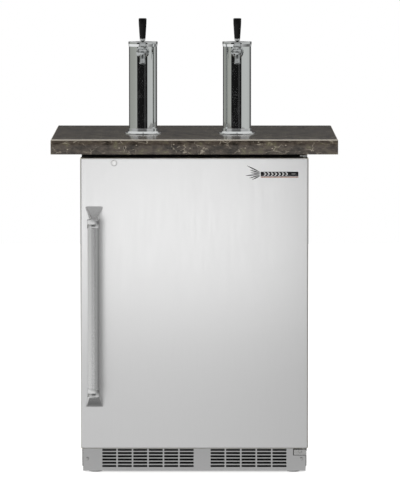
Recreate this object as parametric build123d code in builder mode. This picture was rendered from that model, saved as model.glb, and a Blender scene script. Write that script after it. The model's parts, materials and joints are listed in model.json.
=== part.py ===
from build123d import *
from math import sqrt
import os

# Under-counter kegerator with two draft towers, in millimetres.
# +Z is up, the door faces -Y, and the origin is on the floor under the middle of the whole object.

# Cabinet
cabinet_width = 600
cabinet_depth = 560
cabinet_height = 857
floor_gap = 18  # floor to the underside of the base pan
base_room = 42.5  # air space under the insulated floor
shell_wall = 1.2
back_wall = 1.0
pan_wall = 1.5
pan_rim = 30
frame_plate = 2.0
frame_rail = 4  # left under the foam, above the machine room's opening
frame_leg_play = 4  # leg past the lower hinge leaf
pan_front_rim = 40  # the pan's rim is cut away between two ends this wide
liner_wall = 1.0
side_insulation = 39
top_insulation = 48.8
floor_insulation = 37
rear_insulation = 36
hump_insulation = 34
machine_depth = 170  # machine room at the lower rear
machine_height = 230
louvre_columns = 8
louvre_rows = 9
louvre_pitch_x = 59.8
louvre_pitch_z = 16
louvre_length = 42.7
louvre_height = 6

# Door
door_overhang = 3  # each side, past the cabinet
door_thickness = 42
door_bottom = 71
door_top_gap = 9
skin_wall = 1.2
skin_edge = 2.5
door_liner_wall = 3
gasket_space = 8  # door's back to the cabinet's front
gasket_play = 0.4
gasket_width = 15
gasket_side_margin = 9
gasket_end_margin = 3

# Counter slab that the towers stand on
slab_thickness = 40
slab_nose = 5  # past the door's face
slab_rear_overhang = 20
slab_side_overhang = 81
slab_edge = 3

# Handle
handle_reach = 64  # door's face to the front of the bar's collars
handle_radius = 16
handle_wall = 1.5
handle_height = 536
handle_inset = 37  # axis to the door's free edge
handle_drop = 129  # door's top to the handle's top
bracket_width = 44
bracket_height = 62
bracket_neck = 24
bracket_corner = 3
bracket_slope = 36  # the bracket's foot stands this much past the bar's end
collar_height = 22
collar_wall = 1.6

# Hinges
pin_radius = 4
pin_inset = 12  # axis to the door's hinged edge
pin_depth = 12
bushing_wall = 3
bracket_plate = 3
plate_reach = 10  # the hinge plates' front edge to the axis
upper_plate_extra = 5
hinge_leaf_top = 34
hinge_leaf_low = 19
hinge_leaf_width = 14.5
lower_leaf_width = 34
leaf_drop = 4  # lower hinge plate's top to the door's bottom
pin_end_gap = 1

# Door lock
lock_from_edge = 90
lock_drop = 14
lock_ring_radius = 8.3
lock_ring = 1.4
lock_body_radius = 7
plug_radius = 5
keyway_width = 1.4
keyway_height = 6.5
keyway_depth = 8
cam_reach = 18
cam_width = 9
cam_wall = 2
strike_width = 46
strike_wall = 2
strike_lip = 5
strike_leaf = 20
strike_gap = 1.5
strike_drop = 0.5

# Kick grille
grille_plate = 1.5
grille_bottom = 5
grille_top = 80
grille_return = 12
grille_side_gap = 2
grille_notch_side = 2
grille_notch_gap = 1.5
slot_rows = 6
slot_columns = 12
blank_column = 6
slot_pitch_x = 41.4
slot_pitch_z = 8.7
slot_width = 37.6
slot_height = 5.4
slot_corner = 1.2
slot_middle = 39.8
grille_screw_inset = 13
grille_screw_height = 38

# Leveling legs
leg_inset_x = 35
leg_inset_y = 34
leg_pad_radius = 19
leg_pad = 8
leg_pad_chamfer = 1.5
leg_pad_slope = 3
leg_stud_radius = 5
leg_stud = 40
weld_nut_radius = 10
weld_nut = 12

# Draft towers
tower_spacing = 254
tower_offset = -12
tower_setback = 260  # slab's front edge to the tower's axis
column_radius = 38.1
column_wall = 1.5
tower_height = 249
cap_flare = 1.4  # past the column
cap_lip = 0.5
cap_chamfer = 1
cap_top = 2.5
cap_skirt = 13
flange_rim = 11.9  # past the column
flange_hollow = 4
flange_collar = 1.5
flange_height = 15
flange_plate = 3
flange_screw_inset = 4
flange_screws = 4
flange_screw_head_radius = 3.2
conduit_radius = 22
conduit_wall = 1.5
conduit_rim = 6
conduit_end = 6
line_radius = 5.5
line_bore = 3.2
line_bend = 24
line_tail = 40
line_start = 27  # shank's tail to the tower's axis

# Shank and faucet
shank_height = 223  # counter top to the shank's axis
shank_radius = 11
shank_bore = 3.5
saddle_radius = 16
saddle_depth = 4
shank_nut_radius = 15
shank_nut = 5
coupling_radius = 17.5
coupling_length = 16
coupling_chamfer = (4, 3.5)  # along and across
spanner_notches = 6
spanner_notch_radius = 2
faucet_reach = 41.9  # tower's face to the lever's pivot
lever_pivot = 19  # above the shank's axis
barrel_radius = 12.5
barrel_front = 12
neck_radius = 10.5
chamber_radius = 7.6
chamber_front = 21.5
plunger_radius = 4.5
plunger_front = 8
seal_radius = 6.6
seal_wall = 3
seal_gap = 0.5
housing_radius = 10
bonnet_base = 14
bonnet_top = 25
bonnet_radius = 11
bonnet_band = 3
bonnet_top_radius = 8.2
bonnet_bore = 6.7
lever_ball = 5.8
trunnion_radius = 1.8
trunnion_reach = 6.4
lever_neck = 2.5
lever_tip = 2.5
lever_arm_radius = 2
ferrule_radius = 7.5
ferrule_bottom = 8.5  # above the pivot
ferrule_shoulder = 13
ferrule_top = 18
stud_radius = 3
stud_length = 14
spout_radius = 8.5
spout_bore = 5.5
spout_drop = 29.6
spout_forward = 9
tap_base_radius = 7.9
tap_top_radius = 10.8
tap_length = 55
tap_chamfer = (1.5, 2)  # across and along
tap_dish = 1.5
lever_slot_half = 3.6
lever_slot_back = 12.6
lever_slot_rise = 4.8
lever_slot_throat = 5.8
plunger_flat_half = 2.9
plunger_flat_front = 4.2
plunger_flat_back = 3.6
plunger_flat_low = 3

# Cold side
evaporator_width = 180
evaporator_height = 280
evaporator_wall = 1.5
evaporator_standoff = 7
evaporator_above_hump = 60
evaporator_corner = 8
evaporator_post = 5
evaporator_post_inset = 15
evaporator_channels = 6
channel_margin = 18
channel_height = 8
channel_proud = 2.5
cold_fan_size = 120
cold_fan_depth = 25
cold_fan_drop = 76
cold_fan_x = -60
floor_plate = 1.5
floor_plate_gap = 1
floor_plate_setback = 10
lamp_length = 100
lamp_width = 30
lamp_height = 12
lamp_edge = 3
lamp_x = -63.5
control_width = 160
control_depth = 50
control_height = 28
control_setback = 18
control_side_gap = 20
control_edge = 4
display_width = 50
display_height = 16
display_corner = 2
display_depth = 0.8
display_offset = 32
button_radius = 5
button_length = 12
button_proud = 1.8
button_pitch = 22
button_edge = 0.8
button_room = 2

# Gas set
cylinder_radius = 66.5
cylinder_height = 370
cylinder_gap = 8
cylinder_x = -170
cylinder_heel = 10
cylinder_shoulder = 50
cylinder_shoulder_mid = (12, 26)  # in from the wall, and down from the top
cylinder_neck_fall = 8
cylinder_neck = 4
valve_radius = 13
valve_height = 46
valve_shoulder = 12
valve_step = 4
valve_outlet = 10
valve_stem_radius = 3
handwheel_radius = 22
handwheel_height = 14
handwheel_grips = 8
handwheel_grip_radius = 5
regulator_radius = 26
regulator_length = 34
regulator_stem = 34
regulator_outlet = 16
regulator_outlet_radius = 4.5
regulator_nut_radius = 14
regulator_back_slope = 6
regulator_front_slope = 12
regulator_stem_radius = 4
knob_radius = 15
knob_length = 20
knob_grips = 12
knob_grip_radius = 2.2
gauge_radius = 22
gauge_depth = 20
gauge_reach = 52
gauge_rim = 2
gauge_recess = 1
gauge_port_radius = 5
gauge_port_end = 8

# Machine room
compressor_radius = 68
compressor_height = 150
compressor_x = 120
foot_height = 18
compressor_plate = 3
compressor_foot_radius = 8
compressor_foot_span = 115.6
terminal_box_reach = 18
terminal_box_root = 6
terminal_box_half = 24
terminal_box_low = 50
terminal_box_high = 105
port_offset = 30
port_depth = 16
tube_seat = 6
tube_rise = 22
condenser_x = -230
condenser_depth = 40
condenser_height = 130
condenser_width = 130
condenser_tube = 4
condenser_lift = 15
condenser_end_wall = 1.5
condenser_tube_rows = 5
condenser_tube_columns = (0.3, 0.7)  # shares of the condenser's depth
condenser_inlet = 10
fin_count = 24
fin_wall = 0.8
fin_margin = 3
fin_top_gap = 4
warm_fan_x = -172
warm_fan_depth = 16
warm_fan_size = 130
warm_fan_foot = 20
warm_fan_foot_inset = 12
drip_pan_width = 190
drip_pan_depth = 136
drip_pan_height = 24
drip_pan_corner = 8
drip_pan_wall = 2
drip_pan_gap = 8
tube_radius = 4
tube_bend = 14
inlet_width = 30
inlet_height = 24
inlet_depth = 22
inlet_wall_x = 3
inlet_wall_z = 4
inlet_corner = 3
inlet_play = 1
inlet_pins = 3
inlet_pin_pitch = 7
inlet_pin_width = 2
inlet_pin_height = 6

# Fans: radii and widths are shares of the size across, and the rest shares of the depth
fan_corner = 0.05
fan_duct = 0.45
fan_motor = 0.14
fan_arm = 0.92
fan_arm_width = 5
fan_arm_depth = 0.3
fan_shaft = 0.03
fan_shaft_length = 0.45
hub_start = 0.36
hub_radius = 0.13
hub_length = 0.5
hub_bore = 0.42
blade_count = 5
blade_centre = 0.27
blade_length = 0.31
blade_width = 0.22
blade_corner = 0.04
blade_pitch = 28
blade_wall = 1

# Fits and fasteners
slip = 0.2  # hole over part, within one body
running_fit = 0.06  # radial, where one piece turns or slides in another
part_gap = 0.4  # between pieces that pass each other
screw_radius = 2
screw_head_radius = 5
screw_head = 2.4
screw_length = 8
screw_slot = 1.2

# Places worked out from the sizes above
overall_depth = handle_reach + door_thickness + gasket_space + cabinet_depth + slab_rear_overhang
door_face = handle_reach - overall_depth / 2
door_back = door_face + door_thickness
cabinet_front = door_back + gasket_space
cabinet_back = cabinet_front + cabinet_depth
side = cabinet_width / 2
inner_side = side - shell_wall
cavity_side = inner_side - side_insulation - liner_wall
shell_inside_top = cabinet_height - shell_wall
pan_top = floor_gap + pan_wall
foam_bottom = pan_top + base_room
cavity_floor = foam_bottom + floor_insulation + liner_wall
cavity_top = shell_inside_top - top_insulation - liner_wall
frame_back = cabinet_front + frame_plate
panel_front = cabinet_back - back_wall
cavity_rear = panel_front - rear_insulation - liner_wall
machine_front = panel_front - machine_depth
machine_top = pan_top + machine_height
hump_front = machine_front - hump_insulation - liner_wall
hump_top = machine_top + hump_insulation + liner_wall
machine_middle = (machine_front + panel_front) / 2
door_side = side + door_overhang
door_top = cabinet_height - door_top_gap
door_inside = door_back - door_liner_wall
hinge_x = door_side - pin_inset
hinge_y = (door_face + door_back) / 2
slab_top = cabinet_height + slab_thickness
slab_front = door_face - slab_nose
slab_back = cabinet_back + slab_rear_overhang
slab_side = side + slab_side_overhang
tower_y = slab_front + tower_setback
cap_radius = column_radius + cap_flare
flange_radius = column_radius + flange_rim
flange_screw_circle = flange_radius - flange_screw_inset
tower_xs = (tower_offset - tower_spacing / 2, tower_offset + tower_spacing / 2)
shank_z = slab_top + shank_height
column_front = tower_y - column_radius
saddle_front = column_front - saddle_depth
shank_front = saddle_front - coupling_length / 8
# The nut's corners meet the inside of the round column behind its front
nut_seat = tower_y + slip - sqrt((column_radius - column_wall) ** 2 - shank_nut_radius**2)
faucet_y = column_front - faucet_reach
pivot_z = shank_z + lever_pivot
leaf_low_top = door_bottom - leaf_drop
leaf_low_bottom = leaf_low_top - hinge_leaf_low
frame_leg = side - lower_leaf_width - frame_leg_play
inlet_x = inner_side - inlet_width
inlet_z = pan_top + inlet_height
grille_screws = (
    (grille_screw_inset - side, grille_screw_height),
    (side - grille_screw_inset, grille_screw_height),
)
hinge_screws = (
    (side - hinge_leaf_width / 2, cabinet_height - hinge_leaf_top),
    (side - lower_leaf_width / 2, (leaf_low_top + leaf_low_bottom) / 2),
)
leg_places = {
    "front_left": (-side + leg_inset_x, cabinet_front + leg_inset_y),
    "front_right": (side - leg_inset_x, cabinet_front + leg_inset_y),
    "rear_left": (-side + leg_inset_x, cabinet_back - leg_inset_y),
    "rear_right": (side - leg_inset_x, cabinet_back - leg_inset_y),
}
compressor_base = pan_top + foot_height
compressor_top = compressor_base + compressor_height
condenser_low = pan_top + condenser_lift
suction_x = compressor_x + port_offset
evaporator_back = cavity_rear - evaporator_standoff
evaporator_low = hump_top + evaporator_above_hump
suction_z = evaporator_low + evaporator_height / 2
cylinder_y = cavity_rear - cylinder_gap - cylinder_radius
cylinder_top = hump_top + cylinder_height
valve_top = cylinder_top + valve_height
outlet_z = cylinder_top + valve_height / 2
regulator_back = cylinder_y - valve_radius - regulator_stem
regulator_front = regulator_back - regulator_length
gauge_y = (regulator_back + regulator_front) / 2
gauge_bridge = gauge_reach - gauge_radius + gauge_port_end


def write(piece, name):
    piece.part.label = name
    export_step(piece.part, f"parts/{name}.step")


def front_plane(y):
    # Local x is +X, local y is +Z, and extrusion goes forward, along -Y
    return Plane(origin=(0, y, 0), x_dir=(1, 0, 0), z_dir=(0, -1, 0))


def side_plane(x):
    # Local x is +Y, local y is +Z, and extrusion goes along +X
    return Plane(origin=(x, 0, 0), x_dir=(0, 1, 0), z_dir=(1, 0, 0))


def block(low, high, mode=Mode.ADD):
    middle = tuple((a + b) / 2 for a, b in zip(low, high))
    size = tuple(b - a for a, b in zip(low, high))
    with Locations(middle):
        Box(*size, mode=mode)


def disc(plane, at, radius, length, mode=Mode.ADD):
    with BuildSketch(plane) as circle:
        with Locations(at):
            Circle(radius)
    extrude(circle.sketch, amount=length, mode=mode)


def turn_upright(x, y, outline, mode=Mode.ADD):
    # outline holds (radius, height) corners about a vertical axis
    plane = Plane(origin=(x, y, 0), x_dir=(1, 0, 0), z_dir=(0, -1, 0))
    with BuildSketch(plane) as profile:
        with BuildLine():
            Polyline(*outline, close=True)
        make_face()
    revolve(profile.sketch, axis=Axis((x, y, 0), (0, 0, 1)), mode=mode)


def turn_level(x, z, outline, mode=Mode.ADD):
    # outline holds (y, radius) corners about an axis along Y
    plane = Plane(origin=(x, 0, z), x_dir=(0, 1, 0), z_dir=(1, 0, 0))
    with BuildSketch(plane) as profile:
        with BuildLine():
            Polyline(*outline, close=True)
        make_face()
    revolve(profile.sketch, axis=Axis((x, 0, z), (0, 1, 0)), mode=mode)


def bent_rod(points, radius, bend, mode=Mode.ADD):
    with BuildLine() as route:
        FilletPolyline(*points, radius=bend)
    wire = route.wires()[0]
    with BuildSketch(Plane(origin=wire @ 0, z_dir=wire % 0)) as section:
        Circle(radius)
    sweep(section.sketch, path=wire, mode=mode)


def screw(plane, at, length=screw_length):
    # The plane is the surface that the head rests on, facing out
    disc(plane, at, screw_head_radius, screw_head)
    disc(plane, at, screw_radius, -length)
    with BuildSketch(plane.offset(screw_head)) as slot:
        with Locations(at):
            Rectangle(2 * screw_head_radius, screw_slot)
    extrude(slot.sketch, amount=-screw_head / 2, mode=Mode.SUBTRACT)


def screw_hole(plane, at, depth):
    disc(plane, at, screw_radius + running_fit, -depth, mode=Mode.SUBTRACT)


def countersunk_cone(plane, at, grow=0, mode=Mode.ADD):
    # A head that lies flush with the plane, as wide there as other heads are
    with BuildSketch(plane) as rim:
        with Locations(at):
            Circle(screw_head_radius + grow)
    with BuildSketch(plane.offset(-screw_head)) as root:
        with Locations(at):
            Circle(screw_radius + grow)
    loft(sections=[rim.sketch, root.sketch], mode=mode)


def countersunk_screw(plane, at):
    countersunk_cone(plane, at)
    disc(plane, at, screw_radius, -screw_length)
    with BuildSketch(plane) as slot:
        with Locations(at):
            Rectangle(2 * screw_head_radius, screw_slot)
    extrude(slot.sketch, amount=-screw_head / 2, mode=Mode.SUBTRACT)


def cavity_section(grow):
    # Side view of the cold space, with the hump over the machine room, grown outwards
    with BuildSketch(Plane.YZ) as section:
        with BuildLine():
            Polyline(
                (frame_back, cavity_floor - grow),
                (hump_front + grow, cavity_floor - grow),
                (hump_front + grow, hump_top - grow),
                (cavity_rear + grow, hump_top - grow),
                (cavity_rear + grow, cavity_top + grow),
                (frame_back, cavity_top + grow),
                close=True,
            )
        make_face()
    return section.sketch


os.makedirs("parts", exist_ok=True)

# Cabinet

with BuildPart() as outer_shell:
    with BuildSketch(front_plane(cabinet_back)):
        with BuildLine():
            Polyline(
                (-side, floor_gap),
                (-side, cabinet_height),
                (side, cabinet_height),
                (side, floor_gap),
                (inner_side, floor_gap),
                (inner_side, shell_inside_top),
                (-inner_side, shell_inside_top),
                (-inner_side, floor_gap),
                close=True,
            )
        make_face()
    extrude(amount=cabinet_back - frame_back)
    for x in tower_xs:
        disc(Plane.XY.offset(shell_inside_top), (x, tower_y), conduit_radius + slip, shell_wall, Mode.SUBTRACT)
write(outer_shell, "outer_shell")

with BuildPart() as back_panel:
    block((-inner_side, panel_front, machine_top), (inner_side, cabinet_back, shell_inside_top))
write(back_panel, "back_panel")

with BuildPart() as service_cover:
    block((-inner_side, panel_front, floor_gap), (inner_side, cabinet_back, machine_top))
    with BuildSketch(front_plane(cabinet_back)):
        with Locations((0, (pan_top + machine_top) / 2)):
            with GridLocations(louvre_pitch_x, louvre_pitch_z, louvre_columns, louvre_rows):
                SlotOverall(louvre_length, louvre_height)
        with Locations((inlet_x, inlet_z)):
            Rectangle(inlet_width + slip, inlet_height + slip)
    extrude(amount=back_wall, mode=Mode.SUBTRACT)
write(service_cover, "service_cover")

with BuildPart() as power_inlet:
    with BuildSketch(front_plane(cabinet_back)):
        with Locations((inlet_x, inlet_z)):
            Rectangle(inlet_width, inlet_height)
    extrude(amount=inlet_depth)
    with BuildSketch(front_plane(cabinet_back)):
        with Locations((inlet_x, inlet_z)):
            RectangleRounded(
                inlet_width - 2 * inlet_wall_x,
                inlet_height - 2 * inlet_wall_z,
                inlet_corner,
            )
    extrude(amount=inlet_depth / 2, mode=Mode.SUBTRACT)
    with BuildSketch(front_plane(cabinet_back - inlet_depth / 2)):
        with Locations((inlet_x, inlet_z)):
            with GridLocations(inlet_pin_pitch, 0, inlet_pins, 1):
                Rectangle(inlet_pin_width, inlet_pin_height)
    extrude(amount=-inlet_depth / 3)
write(power_inlet, "power_inlet")

with BuildPart() as base_pan:
    block((-inner_side, frame_back, floor_gap), (inner_side, panel_front, floor_gap + pan_rim))
    block(
        (pan_wall - inner_side, frame_back + pan_wall, pan_top),
        (inner_side - pan_wall, panel_front - pan_wall, floor_gap + pan_rim),
        Mode.SUBTRACT,
    )
    block(
        (pan_front_rim - inner_side, frame_back, pan_top),
        (inner_side - pan_front_rim, frame_back + pan_wall, floor_gap + pan_rim),
        Mode.SUBTRACT,
    )
    for place in leg_places.values():
        disc(Plane.XY.offset(pan_top), place, weld_nut_radius, weld_nut)
    for place in leg_places.values():
        disc(
            Plane.XY.offset(floor_gap),
            place,
            leg_stud_radius + running_fit,
            pan_wall + weld_nut,
            Mode.SUBTRACT,
        )
    for at in grille_screws:
        screw_hole(front_plane(frame_back), at, screw_length)
    block(
        (inlet_x - inlet_width / 2 - inlet_play, panel_front - pan_wall, pan_top),
        (inlet_x + inlet_width / 2 + inlet_play, panel_front, floor_gap + pan_rim),
        Mode.SUBTRACT,
    )
write(base_pan, "base_pan")

with BuildPart() as front_frame:
    with BuildSketch(front_plane(frame_back)):
        with Locations((0, (floor_gap + cabinet_height) / 2)):
            Rectangle(cabinet_width, cabinet_height - floor_gap)
        with Locations((0, (cavity_floor + cavity_top) / 2)):
            Rectangle(2 * cavity_side, cavity_top - cavity_floor, mode=Mode.SUBTRACT)
        with Locations((0, (floor_gap + foam_bottom) / 2)):
            Rectangle(2 * frame_leg, foam_bottom - floor_gap - frame_rail, mode=Mode.SUBTRACT)
    extrude(amount=frame_plate)
    for at in grille_screws + hinge_screws:
        screw_hole(front_plane(cabinet_front), at, frame_plate)
write(front_frame, "front_frame")

with BuildPart() as inner_liner:
    extrude(cavity_section(liner_wall), amount=cavity_side + liner_wall, both=True)
    extrude(cavity_section(0), amount=cavity_side, both=True, mode=Mode.SUBTRACT)
    for x in tower_xs:
        disc(Plane.XY.offset(cavity_top), (x, tower_y), conduit_radius + slip, liner_wall, Mode.SUBTRACT)
    disc(
        front_plane(cavity_rear + liner_wall),
        (suction_x, suction_z),
        tube_radius + slip,
        liner_wall,
        Mode.SUBTRACT,
    )
write(inner_liner, "inner_liner")

suction_route = (
    (suction_x, machine_middle, compressor_top - tube_seat),
    (suction_x, machine_middle, compressor_top + tube_rise),
    (suction_x, cavity_rear + rear_insulation / 2, compressor_top + tube_rise),
    (suction_x, cavity_rear + rear_insulation / 2, suction_z),
    (suction_x, evaporator_back, suction_z),
)
discharge_route = (
    (compressor_x - port_offset, machine_middle, compressor_top - tube_seat),
    (compressor_x - port_offset, machine_middle, compressor_top + tube_rise),
    (condenser_x + condenser_depth / 2, machine_middle, compressor_top + tube_rise),
    (
        condenser_x + condenser_depth / 2,
        machine_middle,
        condenser_low + condenser_height + condenser_inlet,
    ),
)

with BuildPart() as cabinet_foam:
    with BuildSketch(Plane.YZ):
        with BuildLine():
            Polyline(
                (frame_back, foam_bottom),
                (machine_front, foam_bottom),
                (machine_front, machine_top),
                (panel_front, machine_top),
                (panel_front, shell_inside_top),
                (frame_back, shell_inside_top),
                close=True,
            )
        make_face()
    extrude(amount=inner_side, both=True)
    extrude(cavity_section(liner_wall), amount=cavity_side + liner_wall, both=True, mode=Mode.SUBTRACT)
    for x in tower_xs:
        disc(
            Plane.XY.offset(cavity_top + liner_wall),
            (x, tower_y),
            conduit_radius + slip,
            top_insulation,
            Mode.SUBTRACT,
        )
    bent_rod(suction_route, tube_radius + slip, tube_bend, Mode.SUBTRACT)
    for at in hinge_screws:
        screw_hole(front_plane(frame_back), at, 2 * screw_length)
write(cabinet_foam, "cabinet_foam")

with BuildPart() as keg_floor_plate:
    block(
        (floor_plate_gap - cavity_side, frame_back + floor_plate_setback, cavity_floor),
        (cavity_side - floor_plate_gap, hump_front - floor_plate_gap, cavity_floor + floor_plate),
    )
write(keg_floor_plate, "keg_floor_plate")

# Kick grille and leveling legs

with BuildPart() as kick_grille:
    with BuildSketch(front_plane(cabinet_front)):
        with Locations((0, (grille_bottom + grille_top) / 2)):
            Rectangle(cabinet_width - 2 * grille_side_gap, grille_top - grille_bottom)
        with Locations((side, grille_top)):
            Rectangle(
                2 * (lower_leaf_width + grille_notch_side),
                2 * (grille_top - leaf_low_bottom + grille_notch_gap),
                mode=Mode.SUBTRACT,
            )
        columns = [c for c in range(slot_columns) if c != blank_column]
        for column in columns:
            for row in range(slot_rows):
                x = (column - (slot_columns - 1) / 2) * slot_pitch_x
                z = slot_middle + (row - (slot_rows - 1) / 2) * slot_pitch_z
                with Locations((x, z)):
                    RectangleRounded(slot_width, slot_height, slot_corner, mode=Mode.SUBTRACT)
    extrude(amount=grille_plate)
    block(
        (grille_side_gap - side, cabinet_front - grille_plate, grille_bottom),
        (side - grille_side_gap, cabinet_front + grille_return, grille_bottom + grille_plate),
    )
    for at in grille_screws:
        screw_hole(front_plane(cabinet_front - grille_plate), at, grille_plate)
write(kick_grille, "kick_grille")

for name, place in leg_places.items():
    with BuildPart() as leveling_leg:
        turn_upright(
            *place,
            [
                (0, 0),
                (leg_pad_radius - leg_pad_chamfer, 0),
                (leg_pad_radius, leg_pad_chamfer),
                (leg_pad_radius, leg_pad - leg_pad_slope),
                (weld_nut_radius, leg_pad),
                (leg_stud_radius, leg_pad),
                (leg_stud_radius, leg_pad + leg_stud),
                (0, leg_pad + leg_stud),
            ],
        )
    write(leveling_leg, f"leveling_leg_{name}")

# Machine room

with BuildPart() as compressor:
    third = compressor_radius / 3
    turn_upright(
        compressor_x,
        machine_middle,
        [
            (0, compressor_base),
            (compressor_radius - third, compressor_base),
            (compressor_radius, compressor_base + third),
            (compressor_radius, compressor_top - third),
            (compressor_radius - third, compressor_top - third / 3),
            (0, compressor_top),
        ],
    )
    block(
        (compressor_x - compressor_radius, machine_middle - compressor_radius, compressor_base),
        (compressor_x + compressor_radius, machine_middle + compressor_radius, compressor_base + compressor_plate),
    )
    with Locations((compressor_x, machine_middle, compressor_base)):
        with GridLocations(compressor_foot_span, compressor_foot_span, 2, 2):
            Cylinder(compressor_foot_radius, foot_height, align=(Align.CENTER, Align.CENTER, Align.MAX))
    block(
        (
            compressor_x + compressor_radius - terminal_box_root,
            machine_middle - terminal_box_half,
            compressor_base + terminal_box_low,
        ),
        (
            compressor_x + compressor_radius + terminal_box_reach,
            machine_middle + terminal_box_half,
            compressor_base + terminal_box_high,
        ),
    )
    for dx in (-port_offset, port_offset):
        disc(
            Plane.XY.offset(compressor_top - port_depth),
            (compressor_x + dx, machine_middle),
            tube_radius + slip,
            port_depth,
            Mode.SUBTRACT,
        )
write(compressor, "compressor")

with BuildPart() as condenser_coil:
    condenser_front = machine_middle - condenser_width / 2
    for y in (condenser_front, condenser_front + condenser_width - condenser_end_wall):
        block(
            (condenser_x, y, pan_top),
            (condenser_x + condenser_depth, y + condenser_end_wall, condenser_low + condenser_height),
        )
    fin_top = condenser_low + condenser_height - fin_top_gap
    fin_pitch = (condenser_width - 2 * condenser_end_wall) / (fin_count + 1)
    for fin in range(fin_count):
        y = condenser_front + condenser_end_wall + (fin + 1) * fin_pitch
        block(
            (condenser_x + fin_margin, y - fin_wall / 2, condenser_low),
            (condenser_x + condenser_depth - fin_margin, y + fin_wall / 2, fin_top),
        )
    for column in condenser_tube_columns:
        for row in range(condenser_tube_rows):
            at = (
                condenser_x + column * condenser_depth,
                condenser_low + (row + 0.5) * (fin_top - condenser_low) / condenser_tube_rows,
            )
            disc(
                front_plane(machine_middle + condenser_width / 2),
                at,
                condenser_tube,
                condenser_width,
            )
write(condenser_coil, "condenser_coil")


def fan_frame(plane, at, size, depth):
    # A square plate with a round duct, and a motor on four arms across its rear half
    with BuildSketch(plane) as outline:
        with Locations(at):
            RectangleRounded(size, size, fan_corner * size)
            Circle(fan_duct * size, mode=Mode.SUBTRACT)
    extrude(outline.sketch, amount=depth)
    with BuildSketch(plane) as arms:
        with Locations(at):
            Circle(fan_motor * size)
            Rectangle(fan_arm * size, fan_arm_width)
            Rectangle(fan_arm_width, fan_arm * size)
    extrude(arms.sketch, amount=fan_arm_depth * depth)
    disc(plane.offset(fan_arm_depth * depth), at, fan_shaft * size, fan_shaft_length * depth)


def fan_rotor(plane, at, size, depth):
    hub_plane = plane.offset(hub_start * depth)
    disc(hub_plane, at, hub_radius * size, hub_length * depth)
    centre = hub_plane.from_local_coords((at[0], at[1], hub_length * depth / 2))
    axis = Axis(centre, hub_plane.z_dir)
    for step in range(blade_count):
        blade_plane = Plane(
            origin=centre + hub_plane.x_dir * blade_centre * size,
            x_dir=hub_plane.x_dir,
            z_dir=hub_plane.z_dir,
        ).rotated((blade_pitch, 0, 0))
        with BuildSketch(blade_plane) as blade:
            RectangleRounded(blade_length * size, blade_width * size, blade_corner * size)
        turned = blade.sketch.rotate(axis, 360 / blade_count * step)
        extrude(turned, amount=blade_wall / 2, both=True)
    disc(hub_plane, at, fan_shaft * size + running_fit, hub_bore * depth, Mode.SUBTRACT)


warm_fan_plane = side_plane(warm_fan_x)
warm_fan_at = (machine_middle, condenser_low + warm_fan_size / 2)
with BuildPart() as condenser_fan_frame:
    fan_frame(warm_fan_plane, warm_fan_at, warm_fan_size, warm_fan_depth)
    foot_offset = warm_fan_size / 2 - warm_fan_foot_inset
    for y in (machine_middle - foot_offset, machine_middle + foot_offset):
        block(
            (warm_fan_x, y - warm_fan_foot / 2, pan_top),
            (warm_fan_x + warm_fan_depth, y + warm_fan_foot / 2, pan_top + warm_fan_foot),
        )
write(condenser_fan_frame, "condenser_fan_frame")

with BuildPart() as condenser_fan_blade:
    fan_rotor(warm_fan_plane, warm_fan_at, warm_fan_size, warm_fan_depth)
write(condenser_fan_blade, "condenser_fan_blade")

drip_pan_x = (warm_fan_x + warm_fan_depth + compressor_x - compressor_radius) / 2
drip_pan_space = compressor_x - compressor_radius - warm_fan_x - warm_fan_depth
drip_pan_length = min(drip_pan_width, drip_pan_space - 2 * drip_pan_gap)
with BuildPart() as condensate_pan:
    with Locations((drip_pan_x, machine_middle, pan_top)):
        Box(
            drip_pan_length,
            drip_pan_depth,
            drip_pan_height,
            align=(Align.CENTER, Align.CENTER, Align.MIN),
        )
    fillet(condensate_pan.edges().filter_by(Axis.Z), drip_pan_corner)
    offset(amount=-drip_pan_wall, openings=condensate_pan.faces().sort_by(Axis.Z)[-1])
write(condensate_pan, "condensate_pan")

with BuildPart() as refrigerant_tubing:
    bent_rod(suction_route, tube_radius, tube_bend)
    bent_rod(discharge_route, tube_radius, tube_bend)
write(refrigerant_tubing, "refrigerant_tubing")

# Cold side

with BuildPart() as evaporator_plate:
    plate_front = evaporator_back - evaporator_wall
    block(
        (suction_x - evaporator_width / 2, plate_front, evaporator_low),
        (suction_x + evaporator_width / 2, evaporator_back, evaporator_low + evaporator_height),
    )
    fillet(evaporator_plate.edges().filter_by(Axis.Y), evaporator_corner)
    post_span_x = evaporator_width - 2 * evaporator_post_inset
    post_span_z = evaporator_height - 2 * evaporator_post_inset
    with BuildSketch(front_plane(cavity_rear)):
        with Locations((suction_x, suction_z)):
            with GridLocations(post_span_x, post_span_z, 2, 2):
                Circle(evaporator_post)
    extrude(amount=evaporator_standoff)
    channel_half = evaporator_width / 2 - channel_margin
    for row in range(evaporator_channels):
        z = evaporator_low + (row + 1) * evaporator_height / (evaporator_channels + 1)
        block(
            (suction_x - channel_half, plate_front - channel_proud, z - channel_height / 2),
            (suction_x + channel_half, plate_front, z + channel_height / 2),
        )
write(evaporator_plate, "evaporator_plate")

cold_fan_plane = front_plane(cavity_rear)
cold_fan_at = (cold_fan_x, cavity_top - cold_fan_drop)
with BuildPart() as circulation_fan_frame:
    fan_frame(cold_fan_plane, cold_fan_at, cold_fan_size, cold_fan_depth)
write(circulation_fan_frame, "circulation_fan_frame")

with BuildPart() as circulation_fan_rotor:
    fan_rotor(cold_fan_plane, cold_fan_at, cold_fan_size, cold_fan_depth)
write(circulation_fan_rotor, "circulation_fan_rotor")

with BuildPart() as interior_lamp:
    with Locations((lamp_x, frame_back + control_setback + lamp_width, cavity_top)):
        Box(lamp_length, lamp_width, lamp_height, align=(Align.CENTER, Align.CENTER, Align.MAX))
    fillet(interior_lamp.faces().sort_by(Axis.Z)[0].edges(), lamp_edge)
write(interior_lamp, "interior_lamp")

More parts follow.
